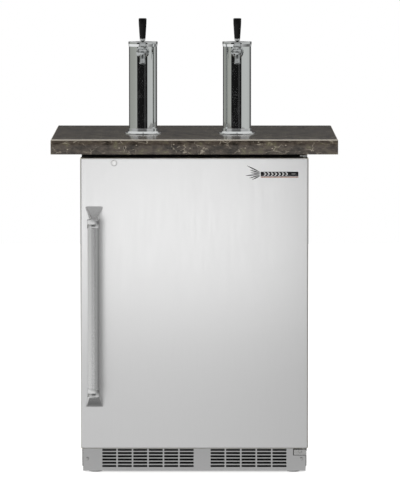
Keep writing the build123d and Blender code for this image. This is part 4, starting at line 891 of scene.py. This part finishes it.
# Towers: drawn tube, flared cap, flange, then the faucet in front
tower = {
    "steps": 144, "wall": 1.5, "fit": 0.1, "arc": 6,
    "capRise": 7, "capFlare": 5, "capRoll": 1.6, "capRim": 2.4, "capDish": 4, "capSink": 0.8,
    "flangeFoot": 3, "flangeLip": 1.4, "flangeCurve": 4,
}


def towerAxes():
    low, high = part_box("tower_columns")
    radius = (high.y - low.y) / 2
    y = (low.y + high.y) / 2
    return radius, [Vector((low.x + radius, y, 0)), Vector((high.x - radius, y, 0))]


def makeTowers():
    radius, axes = towerAxes()
    low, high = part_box("tower_columns")
    capLow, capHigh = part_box("tower_caps")
    flangeLow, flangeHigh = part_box("tower_flanges")
    capRadius = (capHigh.y - capLow.y) / 2
    flangeRadius = (flangeHigh.y - flangeLow.y) / 2
    sizes = {key: value * mm for key, value in tower.items()}
    collar, sink = radius + sizes["fit"], sizes["capSink"]
    columns, caps, flanges = bmesh.new(), bmesh.new(), bmesh.new()
    for axis in axes:
        inner = radius - sizes["wall"]
        lathe(columns, [
            (inner, low.z), (radius, low.z), (radius, high.z), (inner, high.z), (inner, low.z),
        ], (0, 0, 1), axis, tower["steps"])
        # Cap: flares out of the column, and its top is dished inside a rolled rim
        top, bottom = capHigh.z, capLow.z
        lathe(caps, softened([
            (collar, bottom), (radius + 0.5 * mm, bottom), (capRadius, bottom + sizes["capRise"]),
            (capRadius, top), (capRadius - sizes["capRim"], top), (capRadius - sizes["capDish"], top - sink),
            (0, top - sink),
        ], [0, 0.2 * mm, sizes["capFlare"], sizes["capRoll"], sink, sink, 0], tower["arc"]),
            (0, 0, 1), axis, tower["steps"])
        # Flange: a flat foot with a rounded lip that sweeps up into the column
        base = flangeLow.z
        foot = base + sizes["flangeFoot"]
        lathe(flanges, softened([
            (collar, base), (flangeRadius, base), (flangeRadius, foot), (radius + 5 * mm, foot + 0.4 * mm),
            (radius + 2.2 * mm, base + 7 * mm), (radius + 1.5 * mm, flangeHigh.z), (collar, flangeHigh.z),
        ], [0, 0.3 * mm, sizes["flangeLip"], 2.4 * mm, sizes["flangeCurve"], 0.4 * mm, 0], tower["arc"]),
            (0, 0, 1), axis, tower["steps"])
    addMesh("towerColumns", columns, "chrome", "cabinet", ["tower_columns"], 40)
    addMesh("towerCaps", caps, "chrome", "cabinet", ["tower_caps"], 40)
    addMesh("towerFlanges", flanges, "chrome", "cabinet", ["tower_flanges"], 40)
    print("towers made")


faucet = {
    "barrel": 12.5, "nose": 12, "housing": 10, "neck": 10.5, "coupling": 17.5, "notches": 6,
    "notchDepth": 1.9, "notchReach": 0.11, "saddle": 16,
    "bonnet": 11, "bonnetTop": 8.2, "bonnetBore": 6.7, "spoutTop": 8.2,
    "spoutEnd": 8.6, "spoutBore": 6.4, "ferrule": 7.5, "tapBase": 7.9, "tapTop": 10.8, "tapLength": 55,
    "bonnetBase": 14, "bonnetHeight": 25, "spoutDrop": 29.6, "spoutForward": 9,
    "tail": 8, "tailNut": 14, "ball": 5.8,
}


def faucetPoint(side):
    pivot = Vector(joints["tap_" + side]["pos_m"])
    shankZ = (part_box("shanks")[0].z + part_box("shanks")[1].z) / 2
    return Vector((pivot.x, pivot.y, shankZ)), pivot


def makeFaucetBodies():
    values = {key: value * mm for key, value in faucet.items()}
    made = None
    for side in ("left", "right"):
        centre, pivot = faucetPoint(side)
        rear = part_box("faucet_bodies")[1].y - centre.y
        barrel = values["barrel"]
        bm = bmesh.new()
        profile = [(0, -values["nose"])]
        for step in range(1, 9):
            angle = pi / 2 * step / 8
            profile.append((barrel * sin(angle), -values["nose"] * cos(angle)))
        profile += softened([
            (barrel, 0), (barrel, 9 * mm), (values["neck"], 15 * mm), (values["neck"], 21 * mm),
            (11 * mm, 22 * mm), (11 * mm, rear),
        ], [0, 3 * mm, 3 * mm, 0, 0, 0])[1:] + [(0, rear)]
        lathe(bm, profile, (0, 1, 0), centre, 96)
        body = looseObject("faucetBody", bm)
        bm = bmesh.new()
        base, top = values["bonnetBase"], values["bonnetHeight"]
        lathe(bm, softened([
            (0, 0), (values["housing"], 0), (values["housing"], base - 1 * mm),
            (values["bonnet"] - 0.6 * mm, base),
            (values["bonnet"], base + 0.8 * mm), (values["bonnet"], base + 3.4 * mm),
            (values["bonnetTop"], top - 0.6 * mm), (values["bonnetTop"] - 0.8 * mm, top), (0, top),
        ], [0, 0, 0, 0.4 * mm, 0.4 * mm, 1.2 * mm, 0.6 * mm, 0.4 * mm, 0]), (0, 0, 1), centre, 72)
        useBoolean(body, looseObject("housing", bm), "UNION")
        # Spout: leaves the barrel's underside and turns down, a little wider at its mouth
        bm = bmesh.new()
        start = centre + Vector((0, -3, -4)) * mm
        end = centre + Vector((0, -values["spoutForward"], -values["spoutDrop"]))
        length = (start - end).length
        lathe(bm, softened([
            (0, length), (values["spoutTop"], length), (values["spoutTop"] - 0.6 * mm, 0.45 * length),
            (values["spoutEnd"], 1.2 * mm), (values["spoutEnd"] - 0.5 * mm, 0), (0, 0),
        ], [0, 0, 9 * mm, 0.8 * mm, 0.3 * mm, 0]), start - end, end, 64)
        useBoolean(body, looseObject("spout", bm), "UNION")
        bm = bmesh.new()
        lathe(bm, [
            (0, -4 * mm), (values["spoutBore"], -4 * mm), (values["spoutBore"] * 0.92, 0.8 * length),
            (0, 0.8 * length),
        ], start - end, end, 48)
        seat = pivot.z - centre.z
        lathe(bm, [
            (0, seat - 7.5 * mm), (values["bonnetBore"], seat - 5.5 * mm),
            (values["bonnetBore"] + 0.2 * mm, top + 3 * mm), (0, top + 3 * mm),
        ], (0, 0, 1), centre, 48)
        useBoolean(body, looseObject("bores", bm))
        if made is None:
            made = body
        else:
            bm = bmesh.new()
            bm.from_mesh(made.data)
            bm.from_mesh(body.data)
            bm.to_mesh(made.data)
            bm.free()
            bpy.data.objects.remove(body)
    tidySmooth(made, 34)
    mesh = made.data
    bpy.data.objects.remove(made)
    addPiece("faucetBodies", mesh, "castChrome", "cabinet", ["faucet_bodies"])


def makeShanks():
    values = {key: value * mm for key, value in faucet.items()}
    columnRadius, axes = towerAxes()
    nuts, saddles = bmesh.new(), bmesh.new()
    for side, axis in zip(("left", "right"), axes):
        centre = faucetPoint(side)[0]
        nutLow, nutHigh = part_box("coupling_nuts")
        front, back = nutLow.y - centre.y, nutHigh.y - centre.y

        def notched(angle, radius):
            if radius < values["coupling"] - 0.5 * mm:
                return radius
            away = (angle * faucet["notches"] / (2 * pi) + 0.5) % 1 - 0.5
            return radius - values["notchDepth"] * max(0, 1 - (away / faucet["notchReach"]) ** 2)

        lathe(nuts, softened([
            (11.2 * mm, back), (values["coupling"], back), (values["coupling"], front + 4.5 * mm),
            (values["coupling"] - 0.6 * mm, front + 3.8 * mm), (13.6 * mm, front), (11.2 * mm, front),
            (11.2 * mm, back),
        ], [0, 0.8 * mm, 0, 1 * mm, 0.8 * mm, 0, 0]), (0, 1, 0), centre, 144, notched)
        # Saddle: its back is cut to the round column
        rim = []
        steps = 72
        for radius, bevel in ((11 * mm, 0), (values["saddle"] - 1 * mm, 0), (values["saddle"], 1 * mm)):
            rim.append([saddles.verts.new(centre + Vector((
                radius * cos(2 * pi * i / steps), back + bevel, radius * sin(2 * pi * i / steps))))
                for i in range(steps)])
        backRing = []
        for i in range(steps):
            x = values["saddle"] * cos(2 * pi * i / steps)
            y = axis.y - sqrt(columnRadius ** 2 - x ** 2)
            backRing.append(saddles.verts.new(Vector((
                centre.x + x, y + 0.2 * mm, centre.z + values["saddle"] * sin(2 * pi * i / steps)))))
        rim.append(backRing)
        for a, b in zip(rim, rim[1:]):
            for i in range(steps):
                j = (i + 1) % steps
                saddles.faces.new((a[i], a[j], b[j], b[i]))
        # Threaded tail through the column's wall, with its hexagonal nut inside
        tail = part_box("shanks")[1].y - centre.y
        tube, nut = values["tail"], values["tailNut"]
        lathe(saddles, [
            (0, back), (tube, back), (tube, tail - 1 * mm), (tube - 1 * mm, tail), (0, tail),
        ], (0, 1, 0), centre, 48)
        nutNear = axis.y - columnRadius - centre.y + 4 * mm
        nutFar = nutNear + 7 * mm
        lathe(saddles, [(tube, nutNear), (nut, nutNear), (nut, nutFar), (tube, nutFar)], (0, 1, 0), centre, 6)
    bmesh.ops.recalc_face_normals(saddles, faces=saddles.faces)
    addMesh("couplingNuts", nuts, "castChrome", "cabinet", ["coupling_nuts"], 34)
    addMesh("shankSaddles", saddles, "castChrome", "cabinet", ["shanks"], 40)


def makeTaps():
    values = {key: value * mm for key, value in faucet.items()}
    for side in ("left", "right"):
        pivot = faucetPoint(side)[1]
        body = "lever_" + side
        bm = bmesh.new()
        ballRadius = values["ball"]
        ball = [(ballRadius * sin(pi * i / 14), -ballRadius * cos(pi * i / 14)) for i in range(12)]
        ferrule = values["ferrule"]
        lathe(bm, ball + softened([
            (2.7 * mm, 5.2 * mm), (2.6 * mm, 8.6 * mm), (ferrule - 1.2 * mm, 12.4 * mm), (ferrule, 13.2 * mm),
            (ferrule, 14.2 * mm), (ferrule - 0.5 * mm, 14.6 * mm), (ferrule - 0.5 * mm, 15.2 * mm),
            (ferrule, 15.6 * mm), (ferrule, 18 * mm), (0, 18 * mm),
        ], [radius * mm for radius in (0, 1.2, 0.8, 0.4, 0.2, 0.1, 0.1, 0.2, 0.4, 0)]), (0, 0, 1), pivot, 64)
        # Finger below the ball, which works the plunger
        finger = [(0, -19), (2, -18.5), (2, -4), (0, -4)]
        lathe(bm, [(radius * mm, height * mm) for radius, height in finger], (0, 0, 1), pivot, 24)
        addMesh("faucetLever" + side.capitalize(), bm, "chrome", body, ["faucet_lever_" + side],
                40)
        low = 18.05 * mm
        length = values["tapLength"]
        bm = bmesh.new()
        lathe(bm, softened([
            (0, low), (values["tapBase"], low), (values["tapBase"] + 0.1 * mm, low + 2 * mm),
            (values["tapTop"] - 0.3 * mm, low + length * 0.72), (values["tapTop"], low + length - 2 * mm),
            (values["tapTop"] - 1.6 * mm, low + length - 0.05 * mm),
            (values["tapTop"] - 4 * mm, low + length - 1.4 * mm), (0, low + length - 2 * mm),
        ], [radius * mm for radius in (0, 0.8, 0, 30, 1.6, 1.4, 2, 0)], 6), (0, 0, 1), pivot, 72)
        addMesh("tapHandle" + side.capitalize(), bm, "tapBlack", body, ["tap_handle_" + side],
                40)
    print("faucets made")


# Kick grille: a folded steel plate, slotted by a node tree, with a near-black sheet behind its slots as
# painted shade
grille = {
    "slotWidth": 37.6, "slotHeight": 5.8, "slotCorner": 1.3, "pitchX": 41.4, "pitchZ": 8.7,
    "columns": 12, "rows": 6, "blank": 6, "middleZ": 39.8, "plate": 1.5, "bend": 2.0, "innerBend": 0.5,
    "notchSide": 2, "notchUnder": 1.5, "backingInset": 12, "backingGap": 0.6, "backingDepth": 4,
}


def slotTree():
    tree, given, result = newGeometryTree("slottedPlate", [
        ("Slot Width", "NodeSocketFloat", 0.037), ("Slot Height", "NodeSocketFloat", 0.005),
        ("Slot Corner", "NodeSocketFloat", 0.001), ("Pitch X", "NodeSocketFloat", 0.04),
        ("Pitch Z", "NodeSocketFloat", 0.009), ("Columns", "NodeSocketInt", 12), ("Rows", "NodeSocketInt", 6),
        ("Blank Column", "NodeSocketInt", 6), ("Middle", "NodeSocketVector", None),
        ("Material", "NodeSocketMaterial", None),
    ])
    out = given.outputs
    frameCurve = addNode(tree, "GeometryNodeCurvePrimitiveQuadrilateral", {
        "Width": out["Slot Width"], "Height": out["Slot Height"],
    })
    rounded = addNode(tree, "GeometryNodeFilletCurve", {
        "Curve": frameCurve.outputs[0], "Radius": out["Slot Corner"], "Count": 4,
    }, mode="POLY")
    face = addNode(tree, "GeometryNodeFillCurve", {"Curve": rounded.outputs[0]}, mode="NGONS")
    up = addNode(tree, "GeometryNodeExtrudeMesh", {
        "Mesh": face.outputs[0], "Offset Scale": 0.02, "Individual": False,
    })
    under = addNode(tree, "GeometryNodeFlipFaces", {"Mesh": face.outputs[0]})
    both = addNode(tree, "GeometryNodeJoinGeometry")
    tree.links.new(up.outputs[0], both.inputs[0])
    tree.links.new(under.outputs[0], both.inputs[0])
    closed = addNode(tree, "GeometryNodeMergeByDistance", {"Geometry": both.outputs[0], "Distance": 1e-5})
    lastX = addNode(tree, "ShaderNodeMath", {0: out["Columns"], 1: 1.0}, operation="SUBTRACT")
    lastZ = addNode(tree, "ShaderNodeMath", {0: out["Rows"], 1: 1.0}, operation="SUBTRACT")
    sizeX = addNode(tree, "ShaderNodeMath", {0: lastX.outputs[0], 1: out["Pitch X"]}, operation="MULTIPLY")
    sizeZ = addNode(tree, "ShaderNodeMath", {0: lastZ.outputs[0], 1: out["Pitch Z"]}, operation="MULTIPLY")
    grid = addNode(tree, "GeometryNodeMeshGrid", {
        "Size X": sizeX.outputs[0], "Size Y": sizeZ.outputs[0], "Vertices X": out["Columns"],
        "Vertices Y": out["Rows"],
    })
    # A grid counts its points column by column
    index = addNode(tree, "GeometryNodeInputIndex")
    share = addNode(tree, "ShaderNodeMath", {0: index.outputs[0], 1: out["Rows"]}, operation="DIVIDE")
    column = addNode(tree, "ShaderNodeMath", {0: share.outputs[0]}, operation="FLOOR")
    isBlank = addNode(tree, "FunctionNodeCompare", {0: column.outputs[0], 1: out["Blank Column"]},
                      data_type="FLOAT", operation="EQUAL")
    kept = addNode(tree, "GeometryNodeDeleteGeometry", {
        "Geometry": grid.outputs[0], "Selection": isBlank.outputs[0],
    }, domain="POINT")
    cutters = addNode(tree, "GeometryNodeInstanceOnPoints", {
        "Points": kept.outputs[0], "Instance": closed.outputs[0],
    })
    real = addNode(tree, "GeometryNodeRealizeInstances", {"Geometry": cutters.outputs[0]})
    stood = addNode(tree, "GeometryNodeTransform", {
        "Geometry": real.outputs[0], "Translation": out["Middle"], "Rotation": (pi / 2, 0, 0),
    })
    cut = addNode(tree, "GeometryNodeMeshBoolean", {"Mesh 1": out["Geometry"], "Mesh 2": stood.outputs[0]},
                  operation="DIFFERENCE", solver="EXACT")
    solid = addNode(tree, "GeometryNodeRealizeInstances", {"Geometry": cut.outputs[0]})
    painted = addNode(tree, "GeometryNodeSetMaterial", {
        "Geometry": solid.outputs[0], "Material": out["Material"],
    })
    tree.links.new(painted.outputs[0], result.inputs[0])
    return tree


def makeGrille():
    low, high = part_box("kick_grille")
    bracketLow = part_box("hinge_brackets")[0]
    plate = grille["plate"] * mm
    notchX = bracketLow.x - grille["notchSide"] * mm
    notchZ = bracketLow.z - grille["notchUnder"] * mm
    # Side view of the folded plate, then its outline is cut for the hinge bracket
    bm = bmesh.new()
    section = softened([
        (low.y, high.z), (low.y, low.z), (high.y, low.z), (high.y, low.z + plate),
        (low.y + plate, low.z + plate), (low.y + plate, high.z),
    ], [0, grille["bend"] * mm, 0, 0, grille["innerBend"] * mm, 0], 4)
    prism(bm, section, low.x, high.x, lambda y, z, x: (x, y, z))
    sheet = looseObject("grilleSheet", bm)
    bm = bmesh.new()
    roundedBlock(bm, (notchX, low.y - 0.01, notchZ), (high.x + 0.01, high.y + 0.01, high.z + 0.01), 0)
    useBoolean(sheet, looseObject("notch", bm))
    mesh = runTree(sheet, slotTree(), {
        "Slot Width": grille["slotWidth"] * mm, "Slot Height": grille["slotHeight"] * mm,
        "Slot Corner": grille["slotCorner"] * mm, "Pitch X": grille["pitchX"] * mm,
        "Pitch Z": grille["pitchZ"] * mm, "Columns": grille["columns"], "Rows": grille["rows"],
        "Blank Column": grille["blank"], "Middle": (0, low.y + 0.008, grille["middleZ"] * mm),
        "Material": finishes["doorSteel"],
    })
    mesh.name = "kickGrille"
    addPiece("kickGrille", mesh, None, "cabinet", ["kick_grille"])
    # A near-black foam sheet behind the slots, as painted shade for the dark machine room behind the grille
    wide = bracketLow.x - grille["backingInset"] * mm
    gap, back = grille["backingGap"] * mm, low.y + plate + (grille["backingGap"] + grille["backingDepth"]) * mm
    bm = bmesh.new()
    roundedBlock(bm, (-wide, low.y + plate + gap, low.z + plate + gap), (wide, back, high.z - gap), gap)
    addMesh("grilleFilter", bm, "shadeBackingFoam", "cabinet", ())
    print("kick grille made")


def looseBoxes(node):
    # The box of each separate solid in a node
    bm = bmesh.new()
    bm.from_mesh(frame["nodes"][node].data)
    bmesh.ops.remove_doubles(bm, verts=bm.verts, dist=0.01 * mm)
    waiting = set(bm.verts)
    boxes = []
    while waiting:
        group = [waiting.pop()]
        for vert in group:
            for edge in vert.link_edges:
                other = edge.other_vert(vert)
                if other in waiting:
                    waiting.remove(other)
                    group.append(other)
        boxes.append((
            Vector([min(v.co[k] for v in group) for k in range(3)]),
            Vector([max(v.co[k] for v in group) for k in range(3)]),
        ))
    bm.free()
    return boxes


def makeScrews():
    upright, forward = [], []
    for low, high in looseBoxes("screws"):
        centre = (low + high) / 2
        if abs((high.x - low.x) - (high.y - low.y)) < 0.1 * mm:
            upright.append((centre.x, centre.y, high.z - screwShape["height"] * mm))
        else:
            forward.append((centre.x, low.y + screwShape["height"] * mm, centre.z))
    repeatPiece("flangeScrews", screwTemplate(), upright, "chrome", "cabinet", (0, 0, 0), ["screws"])
    repeatPiece("frontScrews", screwTemplate(), forward, "turnedSteel", "cabinet", (pi / 2, 0, 0), ())
    print("screws made")


# Inside: dials, control panel, liner ribs, floor ribs, fan guard and the cylinder's rubber foot
inside = {
    "dial": 19.8, "dialDepth": 0.9, "dots": 13, "dotCircle": 15.5, "dot": 0.9, "sweep": 270, "needle": 15,
    "needleTurns": (62, 148), "hub": 2.4,
    "screen": (30, 14), "screenShift": -34, "digit": 4.2, "digitPitch": 8, "segment": 0.8, "reading": (3, 8),
    "arrow": 2.4, "ribRadius": 3, "ribInset": 16, "ribHeights": (250, 360, 470, 580, 690), "wallInset": 2,
    "floorRib": 1.1, "floorRibs": 11, "floorRibPitch": 44, "floorRibInset": 34,
    "guardRings": (12, 22, 32, 42, 51), "guardWire": 0.9, "guardSpokes": 4,
    "boot": 0.8, "bootHeight": 22,
}
segments = {3: "abcdg", 8: "abcdefg"}     # the lit bars of a seven-bar digit


def bar(bm, start, end, radius, steps=16):
    # A round bar with domed ends
    along = Vector(end) - Vector(start)
    length = along.length
    outline = [(radius * sin(pi / 2 * i / 4), radius * (1 - cos(pi / 2 * i / 4))) for i in range(5)]
    outline += [(r, length - z) for r, z in reversed(outline)]
    lathe(bm, outline, along, Vector(start), steps)


def makeDials():
    dots, faces, needles = [], bmesh.new(), bmesh.new()
    for (low, high), turn in zip(sorted(looseBoxes("pressure_gauges"), key=lambda box: box[0].x),
                                 inside["needleTurns"]):
        front = low.y + inside["dialDepth"] * mm
        centre = Vector(((low.x + high.x) / 2, front, (low.z + high.z) / 2))
        lathe(faces, [(0, 0), (inside["dial"] * mm, 0), (inside["dial"] * mm, 0.0003), (0, 0.0003)],
              (0, 1, 0), centre, 64)
        for i in range(inside["dots"]):
            angle = radians(90 + inside["sweep"] / 2 - inside["sweep"] * i / (inside["dots"] - 1))
            dots.append(centre + Vector((cos(angle), 0, sin(angle))) * inside["dotCircle"] * mm)
        hub = inside["hub"] * mm
        lathe(needles, [(0, -0.0004), (hub, -0.0004), (hub, 0.0001), (0, 0.0001)], (0, 1, 0), centre, 24)
        leafShape(needles, centre, inside["needle"], 1.6, radians(turn), 0.3)
    bm = bmesh.new()
    lathe(bm, [(0, -0.0002), (inside["dot"] * mm, -0.0002), (inside["dot"] * mm, 0.0001), (0, 0.0001)],
          (0, 1, 0), (0, 0, 0), 12)
    addMesh("dialFaces", faces, "white", "cabinet", (), 30)
    addMesh("dialNeedles", needles, "blackPlastic", "cabinet", (), 30)
    repeatPiece("dialDots", looseObject("dialDot", bm), dots, "blackPlastic", "cabinet", (0, 0, 0), ())


def makeControl():
    low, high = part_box("control_housing")
    width, height = inside["screen"]
    centre = Vector(((low.x + high.x) / 2 + inside["screenShift"] * mm, low.y, (low.z + high.z) / 2))
    bm = bmesh.new()
    half = Vector((width / 2, 0, height / 2)) * mm
    roundedBlock(bm, centre - half - Vector((0, 0.6, 0)) * mm, centre + half + Vector((0, 0.4, 0)) * mm,
                 0.3 * mm, 2)
    addMesh("controlScreen", bm, "blackEnamel", "cabinet", (), 30)
    bm = bmesh.new()
    wide, thick = inside["digit"] / 2, inside["segment"] / 2
    shapes = {
        "a": (0, 2 * wide, wide, thick), "g": (0, 0, wide, thick), "d": (0, -2 * wide, wide, thick),
        "b": (wide, wide, thick, wide), "c": (wide, -wide, thick, wide),
        "e": (-wide, -wide, thick, wide), "f": (-wide, wide, thick, wide),
    }
    for place, value in enumerate(inside["reading"]):
        shift = (place - 0.5) * inside["digitPitch"]
        for letter in segments[value]:
            x, z, halfX, halfZ = shapes[letter]
            spot = centre + Vector(((shift + x), 0, z)) * mm
            reach = Vector((halfX, 0, halfZ)) * 0.86 * mm
            roundedBlock(bm, spot - reach - Vector((0, 0.0008, 0)), spot + reach - Vector((0, 0.0004, 0)), 0)
    addMesh("controlDigits", bm, "digits", "cabinet", (), 30)
    for name, body, way in (("Up", "button_up", 1), ("Down", "button_down", -1)):
        boxLow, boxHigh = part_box("temperature_" + body)
        middle = (boxLow + boxHigh) / 2
        size = inside["arrow"] * mm
        bm = bmesh.new()
        prism(bm, [(-size, -size * 0.6 * way), (size, -size * 0.6 * way), (0, size * way)], boxLow.y - 0.0002,
              boxLow.y + 0.0002, lambda u, v, d: (middle.x + u, d, middle.z + v))
        bmesh.ops.recalc_face_normals(bm, faces=bm.faces)
        addMesh("arrow" + name, bm, "white", body, (), 30)


def makeInside():
    low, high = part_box("inner_liner")
    floorLow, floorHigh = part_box("keg_floor_plate")
    bm = bmesh.new()
    length = high.y - low.y - 2 * inside["ribInset"] * mm
    bar(bm, (0, -length / 2, 0), (0, length / 2, 0), inside["ribRadius"] * mm)
    wall = high.x - inside["wallInset"] * mm
    places = [(side * wall, (low.y + high.y) / 2, z * mm) for side in (-1, 1) for z in inside["ribHeights"]]
    repeatPiece("linerRibs", looseObject("linerRib", bm), places, "white", "cabinet", (0, 0, 0), ())
    bm = bmesh.new()
    length = floorHigh.y - floorLow.y - 2 * inside["floorRibInset"] * mm
    bar(bm, (0, -length / 2, 0), (0, length / 2, 0), inside["floorRib"] * mm, 12)
    places = [((i - (inside["floorRibs"] - 1) / 2) * inside["floorRibPitch"] * mm,
               (floorLow.y + floorHigh.y) / 2, floorHigh.z) for i in range(inside["floorRibs"])]
    repeatPiece("floorRibs", looseObject("floorRib", bm), places, "turnedSteel", "cabinet", (0, 0, 0), ())
    fanLow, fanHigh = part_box("circulation_fan_frame")
    centre = Vector(((fanLow.x + fanHigh.x) / 2, fanLow.y, (fanLow.z + fanHigh.z) / 2))
    wire = inside["guardWire"] * mm
    bm = bmesh.new()
    for ring in inside["guardRings"]:
        outline = [(ring * mm + wire * cos(2 * pi * i / 10), wire * sin(2 * pi * i / 10)) for i in range(11)]
        lathe(bm, outline, (0, 1, 0), centre, 72)
    reach = inside["guardRings"][-1] * mm
    for i in range(inside["guardSpokes"]):
        angle = pi * (i + 0.5) / inside["guardSpokes"]
        out = Vector((cos(angle), 0, sin(angle))) * reach
        bar(bm, centre - out, centre + out, wire, 10)
    addMesh("fanGuard", bm, "blackEnamel", "cabinet", (), 40)
    tankLow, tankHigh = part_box("co2_cylinder")
    middle = (tankLow + tankHigh) / 2
    tank = (tankHigh.x - tankLow.x) / 2
    shell = tank + inside["boot"] * mm
    bm = bmesh.new()
    rise = inside["bootHeight"] * mm
    lathe(bm, softened([
        (tank, 0), (shell, 0), (shell, rise), (tank, rise), (tank, 0),
    ], [0, 0.3 * mm, 0.3 * mm, 0, 0]), (0, 0, 1), Vector((middle.x, middle.y, tankLow.z)), 96)
    addMesh("cylinderBoot", bm, "rubber", "cabinet", (), 40)
    print("inside made")


# Back: pan head screws round both sheets, and a plain rating plate
back = {
    "inset": 13, "coverRows": (34, 133, 233), "panelRows": (268, 410, 560, 700, 838),
    "topColumns": (-142, 0, 142), "screwSize": 0.8,
    "plate": (-232, 470, 70, 44), "plateDepth": 0.5, "plateSunk": 0.2,
}


def makeBack():
    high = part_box("back_panel")[1]
    edge = high.x - back["inset"] * mm
    rows, topRows = back["coverRows"] + back["panelRows"], (back["coverRows"][-1], back["panelRows"][-1])
    places = [(side * edge, high.y, z * mm) for side in (-1, 1) for z in rows]
    places += [(x * mm, high.y, z * mm) for x in back["topColumns"] for z in topRows]
    repeatPiece("backScrews", screwTemplate(back["screwSize"]), places, "zinc", "cabinet",
                (-pi / 2, 0, 0), ())
    x, z, wide, tall = (value * mm for value in back["plate"])
    bm = bmesh.new()
    sunk = back["plateSunk"] * mm
    roundedBlock(bm, (x, high.y - sunk, z), (x + wide, high.y + back["plateDepth"] * mm, z + tall), sunk, 2)
    addMesh("ratingPlate", bm, "aluminium", "cabinet", (), 30)
    print("back made")


# Plain parts keep their worked shape and get their finish
plainParts = {
    "outer_shell": "greyCoat", "back_panel": "zinc", "service_cover": "zinc",
    "power_inlet": "blackPlastic", "base_pan": "blackCoat", "front_frame": "blackCoat",
    # The front frame's black is partly its real trim and partly painted shade for the dark gap under the
    # counter
    "keg_floor_plate": "turnedSteel", "evaporator_plate": "aluminium",
    "circulation_fan_frame": "blackPlastic", "condenser_coil": "blackEnamel",
    "condenser_fan_frame": "blackPlastic", "condensate_pan": "blackPlastic",
    "refrigerant_tubing": "copper", "control_housing": "white", "interior_lamp": "lens",
    # The lock strike is made black as painted shade, where it shows in the dark gap above the door
    "hinge_brackets": "turnedSteel", "lock_strike": "blackCoat", "line_conduits": "blackPlastic",
    "beer_lines": "hose", "co2_cylinder": "aluminium", "cylinder_valve": "brass",
    "pressure_regulator": "brass", "pressure_gauges": "turnedSteel", "valve_handwheel": "blackPlastic",
    "regulator_knob": "blackPlastic", "compressor": "blackEnamel", "lock_plug": "turnedSteel",
    "hinge_bushings": "blackPlastic", "door_foam": "foam", "cabinet_foam": "foam",
    "inner_liner": "white", "condenser_fan_blade": "aluminium", "circulation_fan_rotor": "blackPlastic",
    "faucet_plunger_left": "turnedSteel", "faucet_plunger_right": "turnedSteel",
    "temperature_button_down": "blackPlastic", "temperature_button_up": "blackPlastic",
    "leveling_leg_front_left": "turnedSteel", "leveling_leg_front_right": "turnedSteel",
    "leveling_leg_rear_left": "turnedSteel", "leveling_leg_rear_right": "turnedSteel",
}


def paintPlainParts():
    for name, finish in plainParts.items():
        part = frame["nodes"][name]
        part.data.materials.clear()
        part.data.materials.append(finishes[finish])


makeCamera()
makeWorld()
lights = makeLights()
makeFloor(paleFloor())
print("camera, light and floor made")
bpy.context.scene.view_settings.view_transform = "Standard"
makeCounter()
makeDoorSkin()
makeDoorInside()
makeGasket()
makeHandle()
makeLock()
makeEmblem()
print("door made")
makeTowers()
makeFaucetBodies()
makeShanks()
makeTaps()
makeGrille()
makeScrews()
makeDials()
makeControl()
makeInside()
makeBack()
paintPlainParts()
print("plain parts finished")
lightOnly(lights["card"], [bpy.data.objects[name] for name in (
    "doorSkin", "lockHousing", "lock_plug", "emblemBarley",
)])
